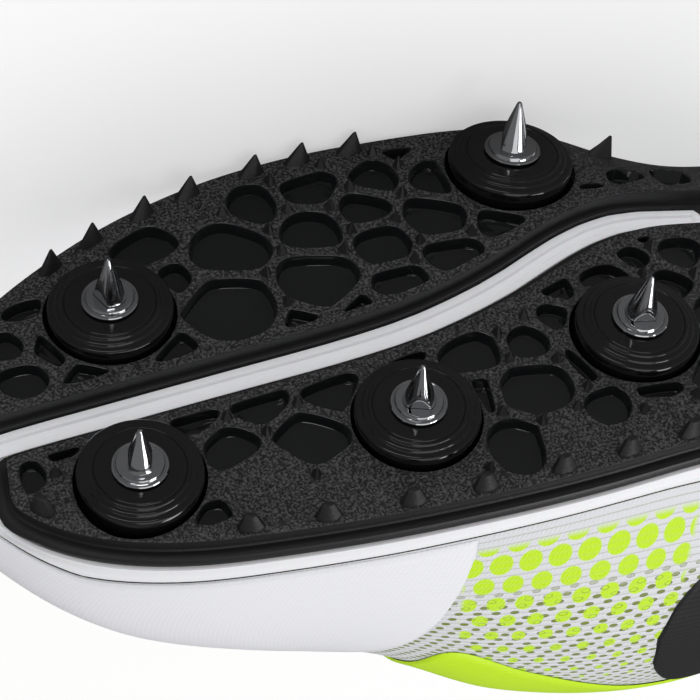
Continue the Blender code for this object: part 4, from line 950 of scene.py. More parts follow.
def spun(piece, place, rows, steps, start=0.0, flat=math.inf):
    """Rings of a turned shape, with two flats if their distance from the axis is given. Rows are
    radius and depth below the datum."""
    point, side, other, normal = stud_axes(place)
    turn = np.linspace(0, 2 * math.pi, steps, endpoint=False)
    around = np.cos(turn + start)[:, None] * side + np.sin(turn + start)[:, None] * other
    rings = []
    for radius, depth in rows:
        reach = np.minimum(radius, flat / np.maximum(np.abs(np.cos(turn)), 0.01))
        rings.append(piece.ring(point - normal * depth + around * reach[:, None]))
    return rings


def fine_studs():
    flats = {row[0]: row[3] for row in STUDS}
    for name, place in stud_places().items():
        seat = Piece()
        rings = spun(seat, place, [(max(r, 0.01), WEB_TOP + h) for r, h in SEAT_PROFILE[1:-1]], 96)
        seat.bands(rings)
        seat.fan(rings[0])
        seat.fan(rings[-1])
        seat.made("seat_" + name, [GLOSS], "seat_black", ["stud_seat_" + name], 50.0)
        spike = Piece()
        root = CROWN + GAP + FLANGE_THICKNESS
        taper = (SPIKE_BASE - SPIKE_TIP) / SPIKE_HEIGHT
        rings = spun(spike, place, [(r, CROWN + h) for r, h in FLANGE_PROFILE[1:]], 72)
        blade = [((SPIKE_BASE - taper * rise) * share, root + rise) for rise, share in BLADE_ROWS]
        rings += spun(spike, place, blade, 72, math.radians(flats[name]), SPIKE_FLAT)
        spike.bands(rings)
        spike.fan(rings[0])
        spike.fan(rings[-1])
        spike.made("steel_" + name, [STEEL], "steel", ["spike_" + name], 28.0)


fine_studs()

# %% [markdown]
# Between the plates the white foam of the midsole comes through as a strip with a shallow groove
# along its middle, and along the edge it shows as a white band between plate and upper. The foam
# is compression-moulded, so its skin is smooth and a little glossy, with fine pores.

# %% Midsole and insole
MIDSOLE_FOREFOOT = 3.0
MIDSOLE_HEEL = 13.0
INSOLE_THICKNESS = 3.0
INSOLE_LIFT = 0.7
CHANNEL_RIB = 1.6
GROOVE_DEPTH = 0.55
WALL = 1.8


def moulded_foam():
    """Compression-moulded foam: a smooth pale skin with faint pores."""
    made, shader = finish("eva_foam_moulded", "#EFEFF2", 0.48, ior=1.45,
                          Subsurface_Weight=0.08, Subsurface_Scale=0.002)
    place = add(made, "TexCoord", output="Object")
    pores = add(made, "TexVoronoi", {"Scale": 1 / (1.1 * MM), "Vector": place})
    bumped(made, shader, pores, 0.22, 0.08)
    return made


FOAM = moulded_foam()


def midsole_thickness(x):
    share = np.clip((0.64 - np.asarray(x) / LENGTH) / 0.44, 0.0, 1.0)
    return MIDSOLE_FOREFOOT + (MIDSOLE_HEEL - MIDSOLE_FOREFOOT) * share ** 2 * (3 - 2 * share)


def seat_height(x, y):
    """Height of the midsole's upper side."""
    x, y = np.asarray(x, float), np.asarray(y, float)
    across = share_across(x, y, 0.32)
    return datum(x, 0.0 * y) + GAP + EDGE_ROLL * across ** 3 + midsole_thickness(x)


def on_seat(points, lift):
    points = np.atleast_2d(points)
    return np.stack([points[:, 0], points[:, 1],
                     seat_height(points[:, 0], points[:, 1]) + lift], axis=1)


def channel_rib(width, end, margin, pitch):
    """A strip along the channel, as a closed outline."""
    along = np.gradient(CHANNEL, axis=0)
    along /= np.linalg.norm(along, axis=1)[:, None]
    across = np.stack([along[:, 1], -along[:, 0]], axis=1) * width / 2
    edge = inset(OUTER, margin)
    keep = [inside(p, edge) and p[0] > end for p in CHANNEL]
    upper, lower = (CHANNEL + across)[keep], (CHANNEL - across)[keep]
    return joined([upper, lower[::-1]], pitch, 1.2)


def fine_midsole():
    edge = spaced(inset(OUTER, -0.4), 2.0, True)
    rib = channel_rib(CHANNEL_WIDTH - 2 * GAP, MEDIAL_PLATE_END + 12.0, 4.0, 1.6)
    piece = Piece()
    bottom = under(inset(edge, 0.5), -GAP)
    low = under(edge, -GAP - 0.35)
    top = on_seat(edge, -0.35)
    rows = [bottom, under(inset(edge, 0.12), -GAP - 0.08), low]
    side = inset(edge, -0.5)
    for share in (0.3, 0.6, 0.85):
        bow = math.sin(math.pi * share)
        ring = low * (1 - share) + top * share
        ring[:, :2] += (side - edge) * bow
        rows.append(ring)
    rows += [top, on_seat(inset(edge, 0.15), -0.08), on_seat(inset(edge, 0.5), 0.0)]
    rings = [piece.ring(row) for row in rows]
    piece.bands(rings)
    crest = [(0.0, -GAP), (0.0, CHANNEL_RIB - 0.35), (0.1, CHANNEL_RIB - 0.1), (0.35, CHANNEL_RIB)]
    steps = [piece.ring(under(inset(rib, d), depth)) for d, depth in crest]
    piece.bands(steps)
    loop = inset(edge, 0.5)
    inner = [p for p in grid_inside(loop, 9.0) if not inside(p, rib)]
    piece.fill([rings[0], steps[0]], [loop, rib], inner, lambda p: under(p, -GAP))
    groove = [(1.35, CHANNEL_RIB), (1.55, CHANNEL_RIB - 0.12), (1.75, CHANNEL_RIB - GROOVE_DEPTH)]
    valley = [piece.ring(under(channel_loop, depth)) for channel_loop, depth in
              ((inset(rib, d), depth) for d, depth in groove)]
    piece.band(steps[-1], valley[0])
    piece.bands(valley)
    piece.fill([valley[-1]], [inset(rib, groove[-1][0])])
    piece.fill([rings[-1]], [loop], grid_inside(loop, 9.0), lambda p: on_seat(p, 0.0))
    piece.made("midsole_foam", [FOAM], "foam_white", ["midsole"], 30.0)


def fine_insole():
    edge = spaced(inset(OUTER, WALL + 1.6), 2.5, True)
    piece = Piece()
    rows = [on_seat(inset(edge, 0.4), INSOLE_LIFT), on_seat(edge, INSOLE_LIFT + 0.5),
            on_seat(edge, INSOLE_LIFT + INSOLE_THICKNESS - 0.8),
            on_seat(inset(edge, 0.25), INSOLE_LIFT + INSOLE_THICKNESS - 0.2),
            on_seat(inset(edge, 0.9), INSOLE_LIFT + INSOLE_THICKNESS)]
    rings = [piece.ring(row) for row in rows]
    piece.bands(rings)
    for ring, margin, lift in ((rings[0], 0.4, INSOLE_LIFT),
                               (rings[-1], 0.9, INSOLE_LIFT + INSOLE_THICKNESS)):
        loop = inset(edge, margin)
        piece.fill([ring], [loop], grid_inside(loop, 10.0), lambda p, h=lift: on_seat(p, h))
    # brushed polyester: a matt nap that shows as faint lumps
    nap = grained("polyester_brushed", "#8C8D90", 0.85, (0.8, 4.0, 0.6, 0.2), Sheen_Weight=0.4)
    piece.made("footbed", [nap], "insole_grey", ["insole"], 40.0)


fine_midsole()
fine_insole()

# %% [markdown]
# The upper is drawn over the last in ribs. Each rib is one cubic curve from the edge of the sole
# to the throat or collar, and a short table holds the ribs' shapes from the toe to the heel. In
# between, the table's columns are blended, so any place around the foot has its own rib.

# %% The upper's surface
RIB_COLUMNS = ("feather", "rise", "bulge", "reach", "drop", "open_x", "open_y", "open_z")
RIBS = (
    (1.000, 0.175, 0.022, 0.600, 0.115, 0.735, 0.000, 0.675),
    (0.965, 0.180, 0.026, 0.520, 0.110, 0.733, 0.026, 0.679),
    (0.890, 0.195, 0.028, 0.430, 0.095, 0.725, 0.068, 0.697),
    (0.795, 0.262, 0.036, 0.375, 0.075, 0.703, 0.115, 0.740),
    (0.680, 0.440, 0.070, 0.365, 0.060, 0.650, 0.170, 0.850),
    (0.560, 0.560, 0.070, 0.290, 0.065, 0.562, 0.215, 0.970),
    (0.455, 0.500, 0.025, 0.180, 0.130, 0.462, 0.255, 1.040),
    (0.345, 0.330, 0.012, 0.085, 0.190, 0.350, 0.310, 0.900),
    (0.215, 0.250, 0.010, 0.050, 0.220, 0.215, 0.325, 0.780),
    (0.085, 0.260, 0.018, 0.030, 0.230, 0.085, 0.255, 0.850),
    (0.000, 0.300, 0.040, 0.030, 0.180, 0.022, 0.000, 0.960),
)
AROUND_MM = 1.1 * LENGTH


def rib_values(position):
    """Every column of the rib table at a position between 0, the toe, and 1, the heel."""
    table = np.array(RIBS)
    place = position * (len(table) - 1)
    i = min(int(place), len(table) - 2)
    t = place - i
    a, b, c, d = (table[min(max(k, 0), len(table) - 1)] for k in (i - 1, i, i + 1, i + 2))
    row = 0.5 * (2 * b + (c - a) * t + (2 * a - 5 * b + 4 * c - d) * t * t
                 + (3 * b - a - 3 * c + d) * t ** 3)
    return dict(zip(RIB_COLUMNS, row))


def feather_point(share, side):
    """Where a rib starts on the edge of the sole, and the way out from the foot there."""
    edge = OUTER[OUTER[:, 1] * side >= -0.012 * BALL_WIDTH]
    line = edge[np.argsort(-edge[:, 0])]
    if share >= 0.999 or share <= 0.001:
        tip = OUTER[np.argmax(OUTER[:, 0]) if share > 0.5 else np.argmin(OUTER[:, 0])]
        return np.array(tip), np.array([1.0 if share > 0.5 else -1.0, 0.0])
    x = share * LENGTH
    y = float(np.interp(-x, -line[:, 0], line[:, 1]))
    step = 0.006 * LENGTH
    ahead = float(np.interp(-min(x + step, LENGTH), -line[:, 0], line[:, 1]))
    behind = float(np.interp(-max(x - step, 0.0), -line[:, 0], line[:, 1]))
    along = np.array([min(x + step, LENGTH) - max(x - step, 0.0), ahead - behind])
    out = np.array([-along[1], along[0]]) * side
    return np.array([x, y]), out / np.linalg.norm(out)


def rib_curve(around, ups):
    """Points up one rib of the upper."""
    around = around % 2.0
    side = -1 if around <= 1.0 else 1
    row = rib_values(around if around <= 1.0 else 2.0 - around)
    start, out = feather_point(row["feather"], side)
    start = start + out * 0.2
    low = np.array([*start, float(seat_height(*start)) + GAP])
    out = np.array([*out, 0.0])
    top = np.array([row["open_x"] * LENGTH, side * row["open_y"] * BALL_WIDTH,
                    row["open_z"] * INSTEP_HEIGHT])
    rise = low + out * row["bulge"] * INSTEP_HEIGHT
    rise[2] += row["rise"] * INSTEP_HEIGHT
    over = top + out * row["reach"] * INSTEP_HEIGHT
    over[2] -= row["drop"] * INSTEP_HEIGHT
    up = np.asarray(ups)[:, None]
    s = 1.0 - up
    return s ** 3 * low + 3 * s * s * up * rise + 3 * s * up * up * over + up ** 3 * top


class Surface:
    """The upper's outer surface on an even grid of places around the foot and up the ribs."""

    def __init__(self, around, up):
        self.around, self.up = around, up
        self.stops = np.linspace(0.0, 2.0, around, endpoint=False)
        self.ups = np.linspace(0.0, 1.0, up + 1)
        self.grid = np.array([rib_curve(a, self.ups) for a in self.stops])
        around_way = np.roll(self.grid, -1, axis=0) - np.roll(self.grid, 1, axis=0)
        normals = np.cross(np.gradient(self.grid, axis=1), around_way)
        normals /= np.linalg.norm(normals, axis=2)[:, :, None]
        inward = self.grid.mean(axis=(0, 1)) - self.grid
        if np.sum(normals[:, : up // 2] * inward[:, : up // 2]) > 0:
            normals = -normals
        self.normals = normals

    def at(self, arounds, ups, lift):
        """Points at any places, lifted off the surface."""
        place = (np.asarray(arounds, float) % 2.0) / 2.0 * self.around
        i = place.astype(int)
        u = (place - i)[:, None]
        row = np.asarray(ups, float) * self.up
        j = np.clip(row.astype(int), 0, self.up - 1)
        v = (row - j)[:, None]

        def mixed(field):
            a, b = i % self.around, (i + 1) % self.around
            return ((field[a, j] * (1 - u) + field[b, j] * u) * (1 - v)
                    + (field[a, j + 1] * (1 - u) + field[b, j + 1] * u) * v)

        normal = mixed(self.normals)
        normal /= np.linalg.norm(normal, axis=1)[:, None]
        return mixed(self.grid) + normal * np.reshape(lift, (-1, 1))


SURFACE = Surface(224, 48)

# %% [markdown]
# The upper is an engineered knit of polyester yarn: fine ribs near the sole, and above them rows
# of small slots through which a neon underlayer shows, drawn as dark olive: neon with painted
# shade. The troughs between the ribs are painted darker too, as painted shade. The slots and the
# ribs are one pattern over the sheet's own millimetres, which every vertex carries as a map of
# around and up.

# %% Knit, films and laces: finishes
NEON = "#C9F20A"
# all sizes here are in millimetres on the flat sheet, judged from the photograph
SLOT_PITCH = 3.3
SLOT_ROW = 1.5
SLOT_SIZE = (1.5, 0.75)
SLOTS_UP = (13.0, 70.0)
RIB_PITCH = 1.25
STITCH = 0.4
DOT_PITCH = 5.0
DOT_ROW = 4.3
DOT_RADIUS = (2.1, 0.5)
DOTS_FROM_HEEL = (156.0, 196.0)
DOTS_UP = (3.0, 44.0)
# yarns of 0.4 mm in the laces, drawn at twice that so that they show
YARN = 0.45


def sheet_place(made):
    """The place on the flat sheet in millimetres, along it and up it."""
    split, _ = add(made, "SeparateXYZ", (add(made, "UVMap", uv_map="sheet"),))
    return (split, "X"), (split, "Y")


def slot_mask(made, u, v, pitch, row, long, high):
    """1 inside small lengthwise slots in staggered rows."""
    step = add(made, "Math:FLOOR", (add(made, "Math:DIVIDE", (v, row)),))
    stagger = add(made, "Math:MULTIPLY", (add(made, "Math:MODULO", (step, 3.0)), pitch / 3.0))
    along = add(made, "Math:PINGPONG", (add(made, "Math:ADD", (u, stagger)), pitch / 2))
    across = add(made, "Math:PINGPONG", (v, row / 2))
    a = add(made, "Math:DIVIDE", (add(made, "Math:SUBTRACT", (pitch / 2, along)), long / 2))
    b = add(made, "Math:DIVIDE", (add(made, "Math:SUBTRACT", (row / 2, across)), high / 2))
    far = add(made, "Math:MULTIPLY_ADD", (b, b, add(made, "Math:MULTIPLY", (a, a))))
    return add(made, "MapRange", {"Value": far, "From Min": 1.25, "From Max": 0.75},
               interpolation_type="SMOOTHSTEP")


def between(made, value, low, high, soft):
    """1 where a value lies between two limits, with soft edges."""
    rise = add(made, "MapRange", {"Value": value, "From Min": low - soft, "From Max": low + soft})
    fall = add(made, "MapRange", {"Value": value, "From Min": high + soft, "From Max": high - soft})
    return add(made, "Math:MULTIPLY", (rise, fall))


def halftone(made, u, v):
    """Printed dots in staggered rows behind the toe, larger toward the sole, on both sides."""
    from_heel = add(made, "Math:ABSOLUTE", (add(made, "Math:SUBTRACT", (u, AROUND_MM)),))
    row = add(made, "Math:FLOOR", (add(made, "Math:DIVIDE", (v, DOT_ROW)),))
    stagger = add(made, "Math:MULTIPLY", (add(made, "Math:MODULO", (row, 2.0)), DOT_PITCH / 2))
    shifted = add(made, "Math:ADD", (from_heel, stagger))
    along = add(made, "Math:FLOORED_MODULO", (shifted, DOT_PITCH))
    along = add(made, "Math:SUBTRACT", (along, DOT_PITCH / 2))
    across = add(made, "Math:FLOORED_MODULO", (v, DOT_ROW))
    across = add(made, "Math:SUBTRACT", (across, DOT_ROW / 2))
    square = add(made, "Math:MULTIPLY_ADD", (across, across, add(made, "Math:MULTIPLY", (along, along))))
    far = add(made, "Math:SQRT", (square,))
    size = add(made, "MapRange", {"Value": v, "From Min": DOTS_UP[0] + 1.0,
                                  "From Max": DOTS_UP[1], "To Min": DOT_RADIUS[0],
                                  "To Max": DOT_RADIUS[1]})
    edge = add(made, "Math:SUBTRACT", (size, far))
    dot = add(made, "MapRange", {"Value": edge, "From Min": -0.12, "From Max": 0.12})
    band = between(made, from_heel, *DOTS_FROM_HEEL, 0.5)
    low = between(made, v, *DOTS_UP, 0.5)
    return add(made, "Math:MULTIPLY", (dot, add(made, "Math:MULTIPLY", (band, low))))


def knit():
    """Ribs and stitches of matt yarn, with painted shade in the troughs between the ribs, slots of the
    neon underlayer darkened with painted shade, and printed dots.
    """
    made, shader = finish("polyester_knit", "#DADBDF", 0.78, Sheen_Weight=0.25)
    u, v = sheet_place(made)
    ribs = add(made, "Math:PINGPONG", (v, RIB_PITCH / 2))
    stitches = add(made, "Math:PINGPONG", (add(made, "Math:MULTIPLY_ADD", (v, 0.6, u)), STITCH))
    slots = slot_mask(made, u, v, SLOT_PITCH, SLOT_ROW, *SLOT_SIZE)
    zone = between(made, v, *SLOTS_UP, 2.0)
    holes = add(made, "Math:MULTIPLY", (slots, zone))
    dots = halftone(made, u, v)
    # painted shade: the troughs between the ribs are drawn darker, olive-grey
    trough_shade = add(made, "MapRange", {"Value": ribs, "From Min": 0.16, "From Max": 0.02,
                                  "To Max": 0.6})
    body = add(made, "Mix", {0: trough_shade, 6: "#E2E3E7", 7: "#A9AE96"}, 2, data_type="RGBA")
    # the slots show the neon underlayer, painted dark olive as neon in shade
    slots_shaded = add(made, "Mix", {0: holes, 6: body, 7: "#7C8A1C"}, 2, data_type="RGBA")
    colour = add(made, "Mix", {0: dots, 6: slots_shaded, 7: NEON}, 2, data_type="RGBA")
    plug(made, colour, shader, "Base Color")
    raised = add(made, "Math:MULTIPLY_ADD", (stitches, 0.5, ribs))
    height = add(made, "Math:MULTIPLY_ADD", (holes, -1.2, raised))
    bumped(made, shader, height, 0.9, 0.45)
    return made


def pressed_film(name, code, roughness, grain, depth):
    """A thin film that is heat-pressed on the knit, so that the knit's ribs show through."""
    made, shader = finish(name, code, roughness, ior=1.48)
    u, v = sheet_place(made)
    ribs = add(made, "Math:PINGPONG", (v, grain / 2))
    leaning = add(made, "Math:MULTIPLY_ADD", (v, 0.5, u))
    stitches = add(made, "Math:PINGPONG", (leaning, grain / 2))
    bumped(made, shader, add(made, "Math:ADD", (ribs, stitches)), 0.5, depth)
    return made


def tongue_knit():
    """The tongue's smooth knit, with fine ribs along it."""
    made, shader = finish("polyester_knit_fine", "#D2D4D8", 0.8, Sheen_Weight=0.25)
    along, across = sheet_place(made)
    ribs = add(made, "Math:PINGPONG", (across, 0.7))
    loops = add(made, "Math:PINGPONG", (along, 0.5))
    bumped(made, shader, add(made, "Math:MULTIPLY_ADD", (loops, 0.4, ribs)), 0.7, 0.3)
    return made


def woven_lace():
    """Flat woven tape: a herringbone of yarns that lean both ways from the middle, painted darker
    between the yarns and lighter on their crests as painted light and shade.
    """
    made, shader = finish("polyester_woven_tape", NEON, 0.7, Sheen_Weight=0.3)
    along, across = sheet_place(made)
    lean = add(made, "Math:ADD", (along, add(made, "Math:ABSOLUTE", (across,))))
    yarns = add(made, "Math:PINGPONG", (lean, YARN))
    columns = add(made, "Math:PINGPONG", (across, 0.4))
    # painted light and shade: the neon is drawn darker between the yarns and lighter on their crests
    shade = add(made, "MapRange", {"Value": yarns, "From Min": 0.0, "From Max": 0.3})
    colour = add(made, "Mix", {0: shade, 6: "#9DB80C", 7: "#D6F53A"}, 2, data_type="RGBA")
    plug(made, colour, shader, "Base Color")
    bumped(made, shader, add(made, "Math:MULTIPLY_ADD", (columns, 0.5, yarns)), 0.9, 0.3)
    return made


KNIT = knit()
TONGUE_KNIT = tongue_knit()
# the lining is a soft dark knit, matt all over
LINING = grained("polyester_lining", "#3A3B3E", 0.9, (0.7, 3.0, 0.5, 0.2), Sheen_Weight=0.3)
LACE = woven_lace()
FILM_WHITE = pressed_film("tpu_film_white", "#ECECF1", 0.42, 1.0, 0.10)
FILM_NEON = pressed_film("tpu_film_neon", NEON, 0.5, 1.25, 0.14)
FILM_BLACK = pressed_film("tpu_film_black", "#1B1B1D", 0.6, 1.1, 0.16)


# %% Knitted upper
def mapped(piece, ring, arounds, ups):
    """Gives a ring's points their places on the flat sheet, in millimetres."""
    for index, a, u in zip(ring, arounds, ups):
        piece.maps[index] = (a * AROUND_MM, u * INSTEP_HEIGHT)


def fine_upper():
    piece = Piece()
    arounds = SURFACE.stops
    rings = []
    turn = np.linspace(0.0, math.pi, 7)[1:-1]
    top = len(SURFACE.ups)
    for u in SURFACE.ups:
        ring = piece.ring(SURFACE.at(arounds, np.full(len(arounds), u), 0.0))
        mapped(piece, ring, arounds, np.full(len(arounds), u))
        rings.append(ring)
    edge = SURFACE.at(arounds, np.ones(len(arounds)), 0.0)
    below = SURFACE.at(arounds, np.full(len(arounds), 0.97), 0.0)
    rising = (edge - below) / np.linalg.norm(edge - below, axis=1)[:, None]
    inner_edge = SURFACE.at(arounds, np.ones(len(arounds)), -WALL)
    outward = (edge - inner_edge) / WALL
    for t in turn:
        points = (edge + inner_edge) / 2 + outward * math.cos(t) * WALL / 2 \
            + rising * math.sin(t) * WALL / 2
        ring = piece.ring(points)
        mapped(piece, ring, arounds, np.full(len(arounds), 1.0 + 0.01 * t))
        rings.append(ring)
    for u in SURFACE.ups[::-1]:
        ring = piece.ring(SURFACE.at(arounds, np.full(len(arounds), u), -WALL))
        mapped(piece, ring, arounds, np.full(len(arounds), u))
        rings.append(ring)
    piece.bands(rings[:top + 3])
    piece.bands(rings[top + 2:], 1)
    piece.band(rings[-1], rings[0], 1)
    piece.made("upper_knit", [KNIT, LINING], "mesh_white", ["upper"], 60.0)


fine_upper()

# %% Films on the upper
TOE_FILM_BACK = 0.368
TOE_FILM_TOP = 0.52
EYESTAY_END = 0.590
EYESTAY_EDGE = (
    (0.000, 0.860), (0.200, 0.835), (0.275, 0.760), (0.325, 0.520), (0.360, 0.345),
    (0.410, 0.420), (0.450, 0.500), (0.490, 0.585), (0.550, 0.690), (0.595, 0.780),
)
QUARTER_FRONT = 0.488
QUARTER_ROUND = 0.075
QUARTER_LOW = 0.15
QUARTER_HIGH = 0.66
QUARTER_HEEL_HIGH = 0.84
FILM = 0.45


def toe_film_top(around):
    share = min(abs(around) / TOE_FILM_BACK, 1.0)
    return 0.02 + TOE_FILM_TOP * max(1.0 - share ** 6, 0.01) ** 0.7


EYESTAY_LINE = spline(EYESTAY_EDGE, 8, False)


def eyestay_low(around):
    return float(np.interp(abs(around), EYESTAY_LINE[:, 0], EYESTAY_LINE[:, 1]))


def quarter_edge(around, side):
    behind = (around if around <= 1.0 else 2.0 - around) - QUARTER_FRONT
    share = min(behind / QUARTER_ROUND, 1.0)
    heel = min(behind / (1.0 - QUARTER_FRONT), 1.0)
    high = QUARTER_HIGH + (QUARTER_HEEL_HIGH - QUARTER_HIGH) * heel
    middle = 0.5 * (QUARTER_LOW + high) * share + 0.33 * (1.0 - share)
    half = 0.5 * (high - QUARTER_LOW) * math.sqrt(max(1.0 - (1.0 - share) ** 2, 0.0))
    return middle + side * half


def film(name, material, slot, node, ends, low_of, high_of, steps, rows, lift=0.1):
    """A film between two edges: outer skin, feathered edge and inner skin."""
    piece = Piece()
    first, last = ends
    arounds = np.linspace(first, last, steps)
    lows = np.array([low_of(a) for a in arounds])
    highs = np.array([high_of(a) for a in arounds])
    shares = np.linspace(0.0, 1.0, rows)
    bevel = 0.5 / INSTEP_HEIGHT

    def skin(height, drawn_in):
        grid = []
        for k, a in enumerate(arounds):
            lo, hi = lows[k] + drawn_in, highs[k] - drawn_in
            if hi < lo:
                lo = hi = (lows[k] + highs[k]) / 2
            shift = np.clip(a, first + drawn_in * 0.3, last - drawn_in * 0.3)
            ups = lo + (hi - lo) * shares
            ring = piece.ring(SURFACE.at(np.full(rows, shift), ups, height))
            mapped(piece, ring, np.full(rows, a + 2.0), ups)
            grid.append(ring)
        return grid

    outer, inner = skin(lift + FILM, bevel), skin(lift, 0.0)
    for grid in (outer, inner):
        piece.bands(grid, closed=False)
    for k in (0, -1):
        piece.band(outer[k], inner[k], closed=False)
        piece.band([column[k] for column in outer], [column[k] for column in inner], closed=False)
    piece.made(name, [material], slot, [node], 60.0)


film("toe_film_pressed", FILM_WHITE, "film_white", "toe_film",
     (-TOE_FILM_BACK, TOE_FILM_BACK), lambda a: 0.005, toe_film_top, 180, 20)
film("eyestay_pressed", FILM_NEON, "neon", "eyestay", (-EYESTAY_END, EYESTAY_END), eyestay_low,
     lambda a: 0.985, 220, 24, 0.22)
film("quarter_pressed", FILM_BLACK, "quarter_black", "heel_quarter",
     (QUARTER_FRONT, 2.0 - QUARTER_FRONT), lambda a: quarter_edge(a, -1),
     lambda a: quarter_edge(a, 1), 200, 22)

# %% [markdown]
# A padded tongue fills the throat, and flat woven laces criss-cross over it. Each crossing is two
# straps. Their ends bend down through punched eyelets, which the eyestay's film edges with a
# small raised ring.

# %% Tongue
TONGUE_THICKNESS = 3.0
TONGUE_MARGIN = 5.0
TONGUE_TOP = 20.0
TONGUE_DROP = 2.8
TONGUE_TAPER = 0.9


def throat_at(x):
    """Half width and height of the throat's edge at a station, carried on past its top."""
    table = np.array(RIBS)[:7]
    stations = table[::-1, 5] * LENGTH
    half = float(np.interp(x, stations, table[::-1, 6])) * BALL_WIDTH
    height = float(np.interp(x, stations, table[::-1, 7])) * INSTEP_HEIGHT
    slope = (table[6, 7] - table[5, 7]) * INSTEP_HEIGHT / (
        (table[5, 5] - table[6, 5]) * LENGTH)
    return half, height + max(stations[0] - x, 0.0) * slope * 1.15


def fine_tongue():
    piece = Piece()
    front = RIBS[0][5] * LENGTH + 8.0
    back = RIBS[6][5] * LENGTH - TONGUE_TOP
    across = np.linspace(-1.0, 1.0, 33)
    rings = []
    for x in np.linspace(front, back, 90):
        half, height = np.mean([throat_at(x + step) for step in (-5.0, 0.0, 5.0)], axis=0)
        past = max(RIBS[6][5] * LENGTH - x, 0.0)
        width = half + max(TONGUE_MARGIN - TONGUE_TAPER * past, 0.0)
        width *= min(1.0, 0.72 + 0.28 * math.sqrt(min((x - back) / 9.0, 1.0)))
        sunk = 1.6 * max(x - RIBS[0][5] * LENGTH, 0.0) / 8.0
        end = min((front - x) / 2.5, (x - back) / 2.5, 1.0)
        puff = 0.35 + 0.65 * math.sqrt(max(1.0 - (1.0 - end) ** 2, 0.0))
        edge = np.sqrt(np.maximum(1.0 - np.abs(across) ** 8, 0.0))
        crown = height - WALL - TONGUE_DROP - sunk - 4.6 * across ** 2
        middle = crown - TONGUE_THICKNESS * (1.0 - 0.5 * np.abs(across)) / 2
        half_thick = TONGUE_THICKNESS / 2 * (1.0 - 0.5 * np.abs(across)) * puff * edge
        skins = []
        for side in (1, -1):
            skins.append(np.stack([np.full(33, x), width * across, middle + side * half_thick],
                                  axis=1))
        loop = np.vstack([skins[0], skins[1][::-1][1:-1]])
        ring = piece.ring(loop)
        for index, point in zip(ring, loop):
            piece.maps[index] = (point[0], point[1] + 100.0)
        rings.append(ring)
    piece.bands(rings)
    piece.fan(rings[0])
    piece.fan(rings[-1])
    piece.made("tongue_padded", [TONGUE_KNIT], "mesh_white", ["tongue"], 60.0)


fine_tongue()

# %% Laces and eyelets
LACE_WIDTH = 5.0
LACE_THICKNESS = 1.6
LACE_CROSSINGS = 5
LACE_FRONT = 0.716
LACE_BACK = 0.482
LACE_STEP = 3.1
LACE_BOW = 1.2
EYELET_INSET = 6.5
EYELET_REACH = 9.2
EYELET_RADIUS = 2.5
LACE_ROWS = np.linspace(LACE_FRONT, LACE_BACK, LACE_CROSSINGS + 1) * LENGTH
# section of a flat woven lace: share of its half width and of its half thickness
LACE_SECTION = (
    (-1.0, 0.0), (-0.97, -0.45), (-0.88, -0.8), (-0.6, -0.95), (0.0, -1.0), (0.6, -0.95),
    (0.88, -0.8), (0.97, -0.45), (1.0, 0.0), (0.97, 0.45), (0.88, 0.8), (0.6, 0.95), (0.0, 1.0),
    (-0.6, 0.95), (-0.88, 0.8), (-0.97, 0.45),
)


def around_at(x):
    table = np.array(RIBS)
    return float(np.interp(-x / LENGTH, -table[:, 5], np.linspace(0, 1, len(table))))


def near_throat(around, from_top, lift):
    """A place a given distance below the throat's edge, and the way out of the shoe there."""
    column = SURFACE.at(np.full(49, around), np.linspace(0.0, 1.0, 49), 0.0)
    length = float(np.linalg.norm(np.diff(column, axis=0), axis=1).sum())
    share = [1.0 - from_top / length]
    point = SURFACE.at([around], share, lift)[0]
    out = point - SURFACE.at([around], share, lift - 1.0)[0]
    return point, out / np.linalg.norm(out)


def lace_stops(low, high, low_row, high_row, side):
    """Stops of a strap from a low eyelet on one side to a high eyelet on the other."""
    clear = FILM + 0.45 + LACE_THICKNESS / 2
    here = (lambda a: a) if side > 0 else (lambda a: 2.0 - a)
    there = (lambda a: 2.0 - a) if side > 0 else (lambda a: a)
    stops = [near_throat(here(low_row), EYELET_REACH, -1.6),
             near_throat(here(low), EYELET_INSET, clear), near_throat(here(low), 0.5, clear)]
    rest = [near_throat(there(high), 0.5, clear), near_throat(there(high), EYELET_INSET, clear),
            near_throat(there(high_row), EYELET_REACH, -1.6)]
    out = stops[-1][1] + rest[0][1]
    out /= np.linalg.norm(out)
    bow = LACE_BOW + (0.9 if side > 0 else 0.0)
    stops.append(((stops[-1][0] + rest[0][0]) / 2 + out * bow, out))
    return stops + rest


def strap(piece, stops):
    path = spline([p for p, _ in stops], 10, False)
    outs = spline([o for _, o in stops], 10, False)
    along = np.gradient(path, axis=0)
    travel = np.concatenate([[0.0], np.cumsum(np.linalg.norm(np.diff(path, axis=0), axis=1))])
    rings = []
    for k, (point, way, out) in enumerate(zip(path, along, outs)):
        side = np.cross(way, out)
        side /= np.linalg.norm(side)
        thick = np.cross(side, way)
        thick /= np.linalg.norm(thick)
        from_end = min(k, len(path) - 1 - k) / 12
        width = LACE_WIDTH / 2 * (0.55 + 0.45 * min(from_end, 1.0))
        points = [point + side * u * width + thick * v * LACE_THICKNESS / 2
                  for u, v in LACE_SECTION]
        ring = piece.ring(points)
        for index, (u, v) in zip(ring, LACE_SECTION):
            piece.maps[index] = (travel[k], u * LACE_WIDTH / 2)
        rings.append(ring)
    piece.bands(rings)
    piece.fan(rings[0])
    piece.fan(rings[-1])


def fine_laces():
    for k, (low_row, high_row) in enumerate(zip(LACE_ROWS, LACE_ROWS[1:])):
        low, high = around_at(low_row - LACE_STEP), around_at(high_row + LACE_STEP)
        piece = Piece()
        for side in (1, -1):
            strap(piece, lace_stops(low, high, around_at(low_row), around_at(high_row), side))
        piece.made(f"lace_woven_{k + 1}", [LACE], "neon", [f"lace_crossing_{k + 1}"], 60.0)


